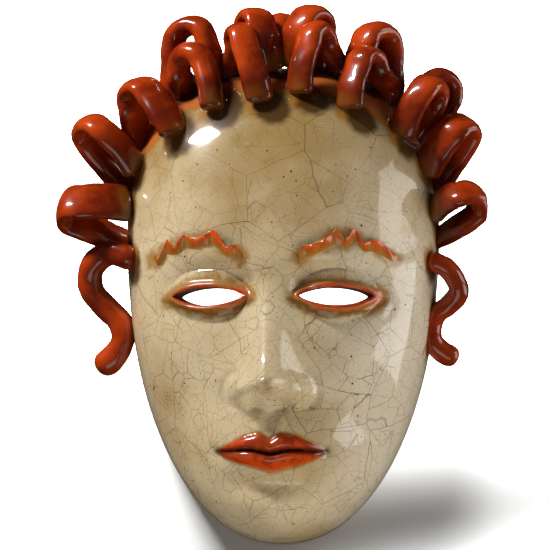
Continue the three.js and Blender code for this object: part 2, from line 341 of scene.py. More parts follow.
    def small(self, x: Array, y: Array) -> Array:
        """Groove over the lip, creases round the nose wings and the nostrils.

        Args:
            x: How far right of the middle line.
            y: How far up from the chin.

        Returns:
            Their height over the vault, negative in the hollows.
        """
        side = np.abs(x)
        window = ease(y, 51, 55) * (1 - ease(y, 59, 64))
        groove = window * (0.8 * bell(side, 4.8, 1.9) - 1.2 * bell(side, 0, 2.6))
        ring = np.hypot(side - self.nose_wing.x, y - self.nose_wing.y)
        wing = -1.4 * bell(ring, 8.6, 1.9) * ease(side, 11, 16) * ease(y, 60, 66)
        return groove + wing + self.nostril.at(x, y)

    def height(self, x: Array, y: Array) -> Array:
        """The outer face.

        Args:
            x: How far right of the middle line.
            y: How far up from the chin.

        Returns:
            Its height over the rim.
        """
        plain = self.vault(x, y)
        form = self.broad(x, y) + self.nose(x, y) + self.lids(x, y) + self.lips(x, y)
        return plain + (form + self.small(x, y)) * ease(plain, 0, self.rim_fade)

    def hollow(self, x: Array, y: Array) -> Array:
        """The inner face: the broad forms, with the nose left thicker.

        Args:
            x: How far right of the middle line.
            y: How far up from the chin.

        Returns:
            Its height over the rim.
        """
        plain = self.vault(x, y, self.wall, self.hollow_sink)
        form = self.broad(x, y) + self.nose_hollow * self.nose(x, y)
        return plain + form * ease(plain, 0, self.rim_fade)

    def slit_half_height(self, x: Array) -> tuple[Array, Array]:
        """How far the slit opens.

        Args:
            x: How far right of the middle line.

        Returns:
            How far it opens over and under the eye line.
        """
        q = np.clip((np.abs(x) - self.eye_x) / self.slit_half, -1, 1)
        open_share = (1 - q * q) ** self.slit_power
        return self.slit_up * open_share, self.slit_down * open_share

    def slit_outline(self, steps: int = 120) -> Array:
        """Points round the right-hand slit.

        Args:
            steps: How many points there are on each lid.

        Returns:
            The points, as x and y.
        """
        x = self.eye_x + self.slit_half * np.cos(np.linspace(0, math.pi, steps))
        up, down = self.slit_half_height(x)
        over = np.stack([x, self.eye_y + up], -1)
        under = np.stack([x, self.eye_y - down], -1)
        return np.concatenate([over, under])

    def placed(self, points: Array) -> Array:
        """Points of the face's own frame in the object's frame, in metres."""
        return (points - np.array([self.middle_x, self.middle_y, 0.0])) * MM


@dataclass
class Skin:
    """Gathers sheets of points and the faces between them into one mesh."""

    points: list[Array] = field(default_factory=list)
    faces: list[tuple[int, ...]] = field(default_factory=list)
    count: int = 0

    def lay(self, points: Array) -> Array:
        """Adds points.

        Args:
            points: The points, in any grid.

        Returns:
            Their numbers in the same grid.
        """
        numbers = np.arange(points[..., 0].size).reshape(points.shape[:-1]) + self.count
        self.points.append(points.reshape(-1, 3))
        self.count += numbers.size
        return numbers

    def stretch(self, grid: Array, closed: bool = False) -> None:
        """Adds a face in each square of a grid of numbers.

        Args:
            grid: The numbers of the points.
            closed: Whether its last column is joined to its first.
        """
        if closed:
            grid = np.concatenate([grid, grid[:, :1]], axis=1)
        corners = (grid[:-1, :-1], grid[:-1, 1:], grid[1:, 1:], grid[1:, :-1])
        squares = np.stack([c.ravel() for c in corners], -1)
        self.faces.extend(map(tuple, squares.tolist()))

    def mesh(self, name: str, form: FaceForm, sharp_degrees: float = 50.0) -> bpy.types.Mesh:
        """The finished mesh, welded, facing outwards and smooth but for its sharp edges.

        Args:
            name: The mesh's name.
            form: The face, whose frame the points are in.
            sharp_degrees: Edges that turn more than this stay sharp.

        Returns:
            The mesh, in metres in the object's frame.
        """
        mesh = bpy.data.meshes.new(name)
        mesh.from_pydata(form.placed(np.concatenate(self.points)).tolist(), [], self.faces)
        work = bmesh.new()
        work.from_mesh(mesh)
        bmesh.ops.remove_doubles(work, verts=work.verts, dist=0.002 * MM)
        bmesh.ops.dissolve_degenerate(work, edges=work.edges, dist=0.001 * MM)
        bmesh.ops.recalc_face_normals(work, faces=work.faces)
        limit = math.radians(sharp_degrees)
        for edge in work.edges:
            edge.smooth = len(edge.link_faces) == 2 and edge.calc_face_angle(0.0) < limit
        for face in work.faces:
            face.smooth = True
        work.to_mesh(mesh)
        work.free()
        mesh.validate()
        return mesh


def points_of(mesh: bpy.types.Mesh, form: FaceForm) -> Array:
    """A mesh's points.

    Args:
        mesh: The mesh.
        form: The face, whose frame they are wanted in.

    Returns:
        The points, in mm.
    """
    flat = np.empty(3 * len(mesh.vertices))
    mesh.vertices.foreach_get("co", flat)
    return flat.reshape(-1, 3) / MM + np.array([form.middle_x, form.middle_y, 0.0])


def set_attribute(mesh: bpy.types.Mesh, name: str, values: Array) -> None:
    """Gives each vertex of a mesh a number that its glaze reads."""
    layer = mesh.attributes.new(name, "FLOAT", "POINT")
    layer.data.foreach_set("value", np.asarray(values, dtype=np.float32))


def add_piece(name: str, mesh: bpy.types.Mesh) -> bpy.types.Object:
    """Adds a piece of the mask to the scene, fired on the one body.

    Args:
        name: The piece's name.
        mesh: Its finished mesh.

    Returns:
        The piece's object.
    """
    piece = bpy.data.objects.new(name, mesh)
    bpy.context.scene.collection.objects.link(piece)
    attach(piece, BODY)
    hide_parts(CAD_NODE)
    log.info("%s: %d vertices, %d faces", name, len(mesh.vertices), len(mesh.polygons))
    return piece


def linear(code: str) -> tuple[float, float, float, float]:
    """Turns a colour to linear values.

    Args:
        code: The colour as an sRGB hex value.

    Returns:
        Red, green, blue and alpha.
    """
    values = [int(code[i : i + 2], 16) / 255 for i in (1, 3, 5)]
    curve = [v / 12.92 if v <= 0.04045 else ((v + 0.055) / 1.055) ** 2.4 for v in values]
    return (*curve, 1.0)


def feed(tree: bpy.types.NodeTree, node: bpy.types.Node, **sockets: Value) -> None:
    """Sets what the inputs of a node hold.

    Args:
        tree: The node's tree.
        node: The node.
        **sockets: For each input, with _ for a space or a plain number after i for its place, the
            output that feeds it or the constant that it holds. A colour is an sRGB hex value.
    """
    for name, value in sockets.items():
        place = name[1:]
        socket = node.inputs[int(place) if place.isdigit() else name.replace("_", " ")]
        if isinstance(value, Socket):
            tree.links.new(value, socket)
        else:
            socket.default_value = linear(value) if isinstance(value, str) else value


class Choice(Enum):
    """A setting of a node: the name of its property and its value."""

    SMOOTH = ("interpolation_type", "SMOOTHSTEP")
    COLOUR = ("data_type", "RGBA")
    CELL_EDGE = ("feature", "DISTANCE_TO_EDGE")
    ADD = ("operation", "ADD")
    SUBTRACT = ("operation", "SUBTRACT")
    MULTIPLY = ("operation", "MULTIPLY")
    MULTIPLY_ADD = ("operation", "MULTIPLY_ADD")
    MAXIMUM = ("operation", "MAXIMUM")
    LESS_THAN = ("operation", "LESS_THAN")
    SCALE = ("operation", "SCALE")


def add_node(
    tree: bpy.types.NodeTree,
    kind: str,
    setting: Choice | tuple[str, str] | None = None,
    out: int | str = 0,
    **sockets: Value,
) -> Socket:
    """Adds a node with its setting and its links.

    Args:
        tree: The tree that it is added to.
        kind: The node's type, without the words that all of them start with.
        setting: The name of one of its properties and its value.
        out: The name or the place of the output that is wanted.
        **sockets: What its inputs hold, as for feed.

    Returns:
        The wanted output.
    """
    node = tree.nodes.new(f"ShaderNode{kind}")
    if setting is not None:
        setattr(node, *(setting.value if isinstance(setting, Choice) else setting))
    feed(tree, node, **sockets)
    return node.outputs[out]


class Side(Enum):
    """A side of the mask as the viewer sees it, and its sign across."""

    LEFT = -1
    RIGHT = 1


class HairRow(Enum):
    """Which row a loop of hair belongs to."""

    FRONT = "hair_front_row"
    BACK = "hair_back_row"


@dataclass(frozen=True)
class Strap:
    """A rolled and flattened strand of clay along a path, in mm."""

    path: Array
    wide_side: Array
    width: float
    thick: float
    seed: int
    bend_steps: int = 24
    stations: int = 96
    sides: int = 28
    heel_share: float = 1.0
    slims_between: tuple[float, float] = (0.5, 0.95)
    end_round: float = 2.6
    end_steps: int = 6
    squareness: float = 0.94
    ripple: float = 0.28
    ripple_mm: float = 17.0
    fine_ripple: float = 0.07
    fine_ripple_mm: float = 7.0

    def smooth_path(self, at: Array | None = None) -> Array:
        """Points on a centripetal curve through the path's bends.

        Args:
            at: How far along the curve the points lie, in mm; evenly spaced ones if left out.

        Returns:
            The points.
        """
        bends = self.path
        line = np.vstack([2 * bends[0] - bends[1], bends, 2 * bends[-1] - bends[-2]])
        dense = []
        for p0, p1, p2, p3 in zip(line, line[1:], line[2:], line[3:]):
            steps = [math.dist(a, b) ** 0.5 for a, b in ((p0, p1), (p1, p2), (p2, p3))]
            t1, t2, t3 = np.cumsum(steps)
            t = np.linspace(t1, t2, self.bend_steps, endpoint=False)[:, None]
            a1 = ((t1 - t) * p0 + t * p1) / t1
            a2 = ((t2 - t) * p1 + (t - t1) * p2) / (t2 - t1)
            a3 = ((t3 - t) * p2 + (t - t2) * p3) / (t3 - t2)
            b1 = ((t2 - t) * a1 + t * a2) / t2
            b2 = ((t3 - t) * a2 + (t - t1) * a3) / (t3 - t1)
            dense.append(((t2 - t) * b1 + (t - t1) * b2) / (t2 - t1))
        curve = np.vstack([*dense, bends[-1:]])
        run = np.concatenate([[0], np.cumsum(np.linalg.norm(np.diff(curve, axis=0), axis=1))])
        if at is None:
            at = np.linspace(0, run[-1], self.stations)
        return np.stack([np.interp(at, run, curve[:, k]) for k in range(3)], -1)

    def rings(self) -> Array:
        """The sections along the path, with blunt rounded ends.

        Returns:
            For each section the points round it.
        """
        even = self.smooth_path()
        length = np.linalg.norm(np.diff(even, axis=0), axis=1).sum()
        turn = np.linspace(0, math.pi / 2, self.end_steps)
        ends = self.end_round * (1 - np.cos(turn))
        middle = np.linspace(self.end_round, length - self.end_round, self.stations)[1:-1]
        at = np.concatenate([ends, middle, length - ends[::-1]])
        spots = self.smooth_path(at)
        ahead, behind = np.minimum(at + 1, length), np.maximum(at - 1, 0)
        heading = unit(self.smooth_path(ahead) - self.smooth_path(behind))
        cut = self.end_round * (1 - np.sin(turn)) / (self.thick / 2)
        shrink = 1 - np.concatenate([cut, np.zeros(len(middle)), cut[::-1]])
        wide = unit(self.wide_side - heading * (heading @ self.wide_side)[:, None])
        thin = np.cross(heading, wide)
        angle = np.linspace(0, 2 * math.pi, self.sides, endpoint=False)
        across, up = (
            np.sign(turned) * np.abs(turned) ** self.squareness
            for turned in (np.cos(angle), np.sin(angle))
        )
        run = np.linspace(0, 1, len(spots))
        slim = 1 - (1 - self.heel_share) * ease(run, *self.slims_between)
        out = wide[:, None] * (across * self.width / 2)[None, :, None] * slim[:, None, None]
        out = out + thin[:, None] * (up * self.thick / 2)[None, :, None]
        out = out * shrink[:, None, None]
        rings = spots[:, None] + out
        fine = Ripple(self.fine_ripple_mm, self.fine_ripple, self.seed + 1)
        bumps = Ripple(self.ripple_mm, self.ripple, self.seed).at(rings) + fine.at(rings)
        bumps = bumps - self.ripple
        return rings + unit(out) * (bumps * np.clip(shrink, 0, 1)[:, None])[..., None]

    def cover(self, skin: Skin, fit: Callable[[Array], Array]) -> None:
        """Adds the strand's surface, closed at both ends, to a skin.

        Args:
            skin: What the faces are added to.
            fit: Moves points that would lie under the rim or inside the hollow.
        """
        rings = fit(self.rings())
        numbers = skin.lay(rings)
        skin.stretch(numbers, closed=True)
        for ring, points in ((numbers[0], rings[0]), (numbers[-1], rings[-1])):
            centre = skin.lay(points.mean(0)[None])[0]
            following = np.roll(ring, -1)
            skin.faces.extend((int(a), int(b), int(centre)) for a, b in zip(ring, following))


@dataclass(frozen=True)
class Loop:
    """One loop of hair: from its foot on the forehead over its apex back to its heel.

    Each place is an angle off the crown in degrees, a reach from the middle of the head and a
    height over the rim, in mm. A foot without a height lies on the face. The bend is the radius of
    the turn, and the heel share is how broad the strand is at its heel against its foot.
    At a lean of 0 the front leg hides the back leg; at 90 or -90 degrees the loop lies flat.
    """

    foot: tuple[float, ...]
    apex: Place
    heel: Place
    width: float = 14.5
    bend: float = 7.0
    lean: float = 25.0
    thick: float = 8.6
    heel_share: float = 0.72


@dataclass(frozen=True)
class SideLock:
    """A lock that hangs at a temple: places at its bends in the face's own frame, in mm."""

    width: float
    thick: float
    bends: tuple[Place, ...]
    end_share: float = 0.44

    def strap(self, seed: int) -> Strap:
        """Its strand, round at the free end.

        Args:
            seed: What its unevenness is drawn from.

        Returns:
            The strand.
        """
        sizes = (np.array([0.0, 0.0, 1.0]), self.width, self.thick)
        end_round = self.end_share * self.thick
        return Strap(np.array(self.bends), *sizes, seed, end_round=end_round)


@dataclass
class Hair:
    """Two rows of clay loops round the crown and a lock at each temple, in mm."""

    form: FaceForm
    turn_steps: int = 4
    leg_bow: float = 1.5
    head_middle: tuple[float, float] = (0.0, 113.0)
    foot_lift: float = 3.2
    tuck_in: float = 9.0
    tuck_down: float = 4.0
    breadth_half: float = 100.0
    breadth_ease: float = 0.6
    rim_clearance: float = 0.02
    fit_steps: int = 60
    fit_growth: float = 1.012
    fit_slack: float = 0.01
    foot_reach: float = 60.0

    front: tuple[Loop, ...] = (
        Loop((-57, 84), (-66.6, 109.7, 22), (-69, 85, 8), 20, 8, 34),
        Loop((-47.2, 91), (-47.7, 122.5, 24), (-52.7, 97.5, 8), 14.2, 8, 38, heel_share=1),
        Loop((-31.3, 88.5), (-33.6, 120.3, 27), (-39.5, 107, 10), 17.5, 8, 44, heel_share=1),
        Loop((-18.3, 91.5), (-19.8, 122.6, 30), (-24.5, 108, 14), 14, 8, 54, 10.4, heel_share=1),
        Loop((-4, 90.5), (-8, 126, 32), (-12, 112, 18), 14, 6.5, 22),
        Loop((6.8, 95), (8.5, 126.5, 32), (14.4, 112.4, 18), 14.5, 7, -35),
        Loop((21.5, 93.5), (20, 120.5, 31), (26.5, 111.5, 14), 15.5, 7, -35, heel_share=1),
        Loop((37, 95), (36, 123, 27), (39, 106.5, 12), 15, 7, -28),
        Loop((48.5, 91), (47, 119, 24), (53, 94.5, 8), 16.5, 7, -28),
        Loop((59.5, 83.5), (63, 104, 21), (68, 80, 8), 16, 8, -46),
    )
    back: tuple[Loop, ...] = (
        Loop((-17, 108.5, 16), (-18, 136.5, 18), (-26.5, 117, 14), 14, 9.5, 66, thick=10.4),
        Loop((-1, 108, 22), (-5, 134, 22), (-10, 120, 10), 16.5, 7.5, 36),
        Loop((2.5, 119, 8), (0, 132.5, 8), (-2.5, 119.5, 6), 14, 6, 25),
        Loop((2, 110, 20), (7, 135.5, 20), (9.5, 114, 12), 17, 8, -40),
        Loop((19.8, 110.5, 16), (20, 134, 18), (27.5, 113.5, 12), 18, 8, -46, thick=10),
        Loop((36, 116, 14), (36.2, 129.3, 15), (42, 114, 9), 14, 8, -58),
    )
    locks: tuple[SideLock, ...] = (
        SideLock(
            13.6, 12.4,
            (
                (-66, 132, 24), (-80, 136, 19), (-89, 129, 16), (-89.5, 119, 13),
                (-82.5, 110.5, 11), (-76.5, 104, 10), (-74.8, 95.5, 10), (-80.5, 86.5, 9),
                (-87, 81.5, 8),
            ),
        ),
        SideLock(
            12.6, 10.4,
            (
                (68, 132.5, 19), (78, 127.5, 17), (83, 118, 15), (78.5, 111.5, 12), (73, 107, 11),
                (70.5, 101, 10), (71, 94.5, 10), (75.5, 89.5, 9), (82.5, 86, 8),
            ),
        ),
    )

    def around(self, place: tuple[float, ...], z: float) -> Array:
        """A place around the head, in the face's own frame.

        Args:
            place: The angle off the crown in degrees and the reach from the middle of the head.
            z: The height over the rim.

        Returns:
            The place.
        """
        angle = math.radians(place[0])
        x = self.head_middle[0] + place[1] * math.sin(angle)
        y = self.head_middle[1] + place[1] * math.cos(angle)
        return np.array([x, y, z])

    def loop_path(self, loop: Loop) -> Array:
        """Foot, front leg, a round turn over the apex, back leg, heel and the end in the wall.

        Args:
            loop: The loop.

        Returns:
            The bends of the strand's path.
        """
        start = self.around(loop.foot, 0.0)
        if len(loop.foot) == 2:
            start[2] = float(self.form.height(start[0], start[1])) + self.foot_lift
        else:
            start[2] = loop.foot[2]
        top = self.around(loop.apex, loop.apex[2])
        end = self.around(loop.heel, loop.heel[2])
        outward, apart = self.turn_axes(loop)
        hub = top - outward * loop.bend
        angles = np.linspace(0, math.pi, self.turn_steps + 1)
        turn = [hub + loop.bend * (apart * math.cos(a) + outward * math.sin(a)) for a in angles]
        front_leg = (start + turn[0]) / 2 + apart * self.leg_bow
        back_leg = (end + turn[-1]) / 2
        inward = unit(np.array([*self.head_middle, end[2]]) - end)
        tuck = end + inward * self.tuck_in - np.array([0, 0, self.tuck_down])
        return np.array([start, front_leg, *turn, back_leg, end, tuck])

    def turn_axes(self, loop: Loop) -> tuple[Array, Array]:
        """Which way a loop is turned.

        Args:
            loop: The loop.

        Returns:
            The way it points, and the way from its back leg to its front leg.
        """
        top = self.around(loop.apex, loop.apex[2])
        legs = (self.around(loop.foot, top[2]) + self.around(loop.heel, top[2])) / 2
        outward = unit(top - legs)
        lean = math.radians(loop.lean)
        front = np.array([0.0, 0.0, 1.0])
        return outward, front * math.cos(lean) + np.cross(outward, front) * math.sin(lean)

    def loop_strap(self, loop: Loop, seed: int) -> Strap:
        """The strand of one loop, its wide side along the axis of the turn."""
        sizes = (np.cross(*self.turn_axes(loop)), loop.width, loop.thick)
        return Strap(self.loop_path(loop), *sizes, seed, heel_share=loop.heel_share)

    def fitted(self, points: Array) -> Array:
        """Keeps points over the plane of the rim, out of the hollow and inside the mask's breadth.

        Args:
            points: The points.

        Returns:
            The points, moved where they have to be.
        """
        moved = points.copy()
        beyond = np.abs(moved[..., 0] - self.form.middle_x) - self.breadth_half
        inward = np.sign(moved[..., 0] - self.form.middle_x) * self.breadth_ease
        moved[..., 0] -= inward * np.maximum(beyond, 0)
        moved[..., 2] = np.maximum(moved[..., 2], self.rim_clearance)
        middle = np.array(self.head_middle)
        spread = moved[..., :2] - middle
        for _ in range(self.fit_steps):
            x = middle[0] + spread[..., 0]
            y = middle[1] + spread[..., 1]
            inset = self.form.wall / 2
            under = moved[..., 2] < self.form.vault(x, y, inset) - self.fit_slack
            under &= np.abs(x) < self.form.half_width(y, inset)
            if not under.any():
                break
            spread = np.where(under[..., None], spread * self.fit_growth, spread)
        moved[..., :2] = middle + spread
        return moved

    def centre_lines(self) -> Array:
        """Points along every loop and lock, for the stain that the glaze left round them and the
        painted shadow beside them.

        Returns:
            The points.
        """
        straps = [self.loop_strap(loop, 0) for loop in (*self.front, *self.back)]
        straps += [lock.strap(0) for lock in self.locks]
        return np.vstack([strap.smooth_path()[::3] for strap in straps])

    def build(self, glaze: bpy.types.Material) -> list[bpy.types.Object]:
        """Builds both rows and the side locks.

        Args:
            glaze: The glaze that covers the hair.

        Returns:
            The pieces.
        """
        pieces = []
        for row, loops in ((HairRow.FRONT, self.front), (HairRow.BACK, self.back)):
            skin = Skin()
            for number, loop in enumerate(loops):
                seed = 100 * len(pieces) + 10 * number
                self.loop_strap(loop, seed).cover(skin, self.fitted)
            pieces.append(self.finish(row.value, skin, glaze))
        for side, lock in zip(Side, self.locks):
            skin = Skin()
            lock.strap(500 + len(pieces)).cover(skin, self.fitted)
            pieces.append(self.finish(f"side_lock_{side.name.lower()}", skin, glaze))
        return pieces

    def finish(self, name: str, skin: Skin, glaze: bpy.types.Material) -> bpy.types.Object:
        """Turns a skin of strands into a glazed piece.

        Args:
            name: The piece's name.
            skin: Its surface.
            glaze: The glaze that covers it.

        Returns:
            The piece.
        """
        mesh = skin.mesh(name, self.form)
        points = points_of(mesh, self.form)
        feet = np.array([self.loop_path(loop)[0] for loop in (*self.front, *self.back)])
        set_attribute(mesh, "off_foot", np.clip(nearest(points, feet), 0, self.foot_reach))
        mesh.materials.append(glaze)
        return add_piece(name, mesh)


@dataclass
class Brow:
    """A crimped brow: a thin strip of clay stood on edge and pinched to a zigzag, in mm."""

    form: FaceForm
    side: Side
    inner: float = 13.0
    outer: float = 56.0
    y: float = 131.0
    arch: float = 8.5
    teeth: float = 3.8
    zigzag: float = 2.8
    stand: float = 3.9
    foot_half: float = 3.4
    lean: float = 1.6
    foot_follows: float = 0.3
    end_height: float = 0.3
    orange_front: tuple[float, float] = (0.35, 1.3)
    stations: int = 260
    profile: tuple[tuple[float, float], ...] = (
        (-1.3, -1.6), (-1.3, -0.15), (-1.05, 0.1), (-0.7, 0.38), (-0.38, 0.7), (-0.2, 0.9),
        (-0.07, 0.99), (0.06, 1.0), (0.16, 0.93), (0.24, 0.72), (0.32, 0.42), (0.5, 0.12),
        (0.75, -0.15), (0.75, -1.6),
    )

    def centre(self, t: Array) -> tuple[Array, Array]:
        """The line of the strip without its zigzag, from the nose end at 0 to the temple at 1."""
        x = self.side.value * (self.inner + (self.outer - self.inner) * t)
        return x, self.y + self.arch * np.sin(math.pi * t**0.9)

    def crimp(self, t: Array) -> Array:
        """The zigzag of the crest, uneven from pinch to pinch.

        Args:
            t: How far along the strip, from 0 to 1.

        Returns:
            How far the crest lies over the line of the strip.
        """
        rng = np.random.default_rng(11 + self.side.value)
        warped = t + 0.05 * np.sin(2 * math.pi * (1.4 * t + rng.uniform()))
        wave = np.arcsin(0.96 * np.sin(2 * math.pi * self.teeth * warped)) / 1.25
        fade = ease(t, 0, 0.06) * (1 - ease(t, 0.94, 1.0))
        return self.zigzag * wave * fade * (0.85 + 0.35 * np.sin(11 * t + 2 * self.side.value))

    def build(self, glaze: bpy.types.Material, stains: "Stains") -> bpy.types.Object:
        """Builds the strip on the face.

        Args:
            glaze: The glaze of the face, which turns orange along the crest.
            stains: What marks where the colours ran.

        Returns:
            The piece.
        """
        t = np.linspace(0, 1, self.stations)
        x, y = self.centre(t)
        crimp = self.crimp(t)
        full = ease(t, 0, 0.14) * (1 - ease(t, 0.88, 1.0))
        stand = self.stand * (self.end_height + (1 - self.end_height) * full)
        stand = stand * (1 + 0.14 * np.sin(4 * math.pi * self.teeth * t + 1.0))
        rows = []
        for offset, up in self.profile:
            share = min(max(up, 0.0), 1.0)
            follows = self.foot_follows + (1 - self.foot_follows) * share
            shift = crimp * follows + self.lean * share + offset * self.foot_half
            rows.append(np.stack([x, y + shift, self.form.height(x, y + shift) + stand * up], -1))
        skin = Skin()
        numbers = skin.lay(np.stack(rows, 1))
        skin.stretch(numbers, closed=True)
        for end in (numbers[0], numbers[-1]):
            skin.faces.append(tuple(int(n) for n in end))
        name = f"brow_{self.side.name.lower()}"
        mesh = skin.mesh(name, self.form, sharp_degrees=80)
        points = points_of(mesh, self.form)
        stains.mark(mesh)
        set_attribute(mesh, "crest", self.crest_share(points))
        mesh.materials.append(glaze)
        return add_piece(name, mesh)

    def crest_share(self, points: Array) -> Array:
        """How much of the strip's own colour shows: all along the crest and less down its front.

        Args:
            points: The points, in the face's own frame.

        Returns:
            The share at each point, from 0 to 1.
        """
        x, y, z = points.T
        from_nose = self.side.value * x - self.inner
        along = np.clip(from_nose / (self.outer - self.inner), 0, 1)
        crest_y = self.centre(along)[1] + self.crimp(along) + self.lean
        front = 1 - ease(y - crest_y, *self.orange_front)
        return front * np.clip((z - self.form.height(x, y)) / self.stand, 0, 1)


@dataclass
class Stains:
    """Where colours ran into the cream glaze from lips, lids, brows and hair, and painted shade
    near them.
    """

    form: FaceForm
    hair: Hair
    brows: tuple[Brow, ...]
    hairline: float = 96.0
    hairline_drop: float = 22.0
    # How far the painted shadow of the hair is moved to the lower right, in mm.
    painted_shadow_drift: tuple[float, float] = (6.0, -4.0)
    crease_shade_strength: float = 0.92
    crease_half: float = 1.8
    lip_span: float = 20.0
    skin_depth: float = 4.0
    bare_depth: tuple[float, float] = (2.6, 4.2)
    mark_reach: float = 30.0
    wash_end: float = 40.0
    wash_ends_at: tuple[float, float] = (62.0, 78.0)

    def mark(self, mesh: bpy.types.Mesh) -> None:
        """Marks each vertex with how far it is, in mm, from what coloured the glaze round it or
        laid painted shade on it.

        Args:
            mesh: The mesh of the shell or of a brow.
        """
        points = points_of(mesh, self.form)
        x, y, z = points.T
        depth = self.form.height(x, y) - z
        marks = {
            **self.inside_marks(x, y, z, depth),
            **self.lip_and_nose_marks(x, y, depth),
            **self.eye_marks(x, y, depth),
            **self.brow_marks(points),
            **self.hair_marks(points),
        }
        for name, values in marks.items():
            set_attribute(mesh, name, values)

    def inside_marks(self, x: Array, y: Array, z: Array, depth: Array) -> dict[str, Array]:
        """Where the bare clay of the hollow shows.

        Args:
            x: How far right of the middle line.
            y: How far up from the chin.
            z: How far over the rim.
            depth: How far under the outer face.

        Returns:
            The mark by its name.
        """
        inside = ease(depth, *self.bare_depth) * (np.abs(x) < self.form.half_width(y) - 1.8)
        hollow = ease(self.form.hollow(x, y) + 1.2 - z, 0, 1.0)
        return {"inner_face": np.minimum(inside, 1) * hollow}

    def lip_and_nose_marks(self, x: Array, y: Array, depth: Array) -> dict[str, Array]:
        """The lips, the crease between them and the tip of the nose.

        Args:
            x: How far right of the middle line.
            y: How far up from the chin.
            depth: How far under the outer face.

        Returns:
            The marks by their names.
        """
        form = self.form
        inner = depth > self.skin_depth
        lip = np.clip(form.lip_inside(x, y), -self.lip_span, self.lip_span)
        tip = np.hypot(x, y - form.nose_tip + 2)
        # Painted shade: near-black along the crease between the lips.
        crease = self.crease_shade_strength * bell(y, form.mouth_line(x), self.crease_half)
        crease = crease * (1 - ease(np.abs(x), form.mouth_half - 1, form.mouth_half + 2))
        return {
            "lip": np.where(inner, -self.lip_span, lip),
            "nose_tip": np.clip(tip, 0, self.mark_reach),
            "crease": np.where(inner, 0, crease),
        }

    def eye_marks(self, x: Array, y: Array, depth: Array) -> dict[str, Array]:
        """The edges of the slits and what lies under them.

        Args:
            x: How far right of the middle line.
            y: How far up from the chin.
            depth: How far under the outer face.

        Returns:
            The marks by their names.
        """
        slit = nearest(np.stack([np.abs(x), y], -1), self.form.slit_outline())
        slit = slit + np.maximum(depth - 1.2, 0)
        # Under the eye line, where olive glaze and painted shade make a dark band.
        under = ease(self.form.eye_y - y, -1, 3)
        return {"lid": np.clip(slit, 0, self.mark_reach), "under_eye": under}

    def brow_marks(self, points: Array) -> dict[str, Array]:
        """The brows and what lies over them.

        Args:
            points: The points, in the face's own frame.

        Returns:
            The marks by their names.
        """
        steps = np.linspace(0, 1, 90)
        lines = []
        for brow in self.brows:
            across, up = brow.centre(steps)
            lines.append(np.stack([across, up + 0.5 * brow.crimp(steps)], -1))
        off_brow = nearest(points[:, :2], np.vstack(lines))
        over = points[:, 1] - np.interp(points[:, 0], *self.brow_line(lines))
        return {"brow": np.clip(off_brow, 0, self.mark_reach), "over_brow": ease(over, 0, 3)}

    def hair_marks(self, points: Array) -> dict[str, Array]:
        """The strands, their painted shadow to the lower right, and the wash of colour at the
        hairline.

        Args:
            points: The points, in the face's own frame.

        Returns:
            The marks by their names.
        """
        x, y, _ = points.T
        lines = self.hair.centre_lines()
        off_strand = nearest(points, lines) - Loop.thick / 2
        # Painted shadow: the strand lines moved to the lower right, away from the key light, less
        # far on the left.
        sideways = self.painted_shadow_drift[0] * (0.25 + 0.75 * ease(x, -56, -20))
        beside = points - np.stack([sideways, np.full(x.shape, self.painted_shadow_drift[1]), 0 * x], -1)
        off_painted_shade = nearest(beside, lines) - Loop.thick / 2
        head_x, head_y = self.hair.head_middle
        angle = np.abs(np.degrees(np.arctan2(x - head_x, y - head_y)))
        reach = np.hypot(x - head_x, y - head_y)
        hairline = self.hairline - self.hairline_drop * (angle / 90) ** 2.6
        wash = np.clip(reach - hairline, -self.mark_reach, self.mark_reach)
        return {
            "strand": np.clip(off_strand, -2, self.mark_reach),
            "pooled": np.clip(off_painted_shade, -2, self.mark_reach),
            "past_hairline": wash - self.wash_end * ease(angle, *self.wash_ends_at),
        }

    def brow_line(self, lines: list[Array]) -> tuple[Array, Array]:
        """The height of the brows across the whole face.

        Args:
            lines: Points along each brow.

        Returns:
            The points' places across, in order, and their heights.
        """
        points = np.vstack(lines)
        order = np.argsort(points[:, 0])
        return points[order, 0], points[order, 1]


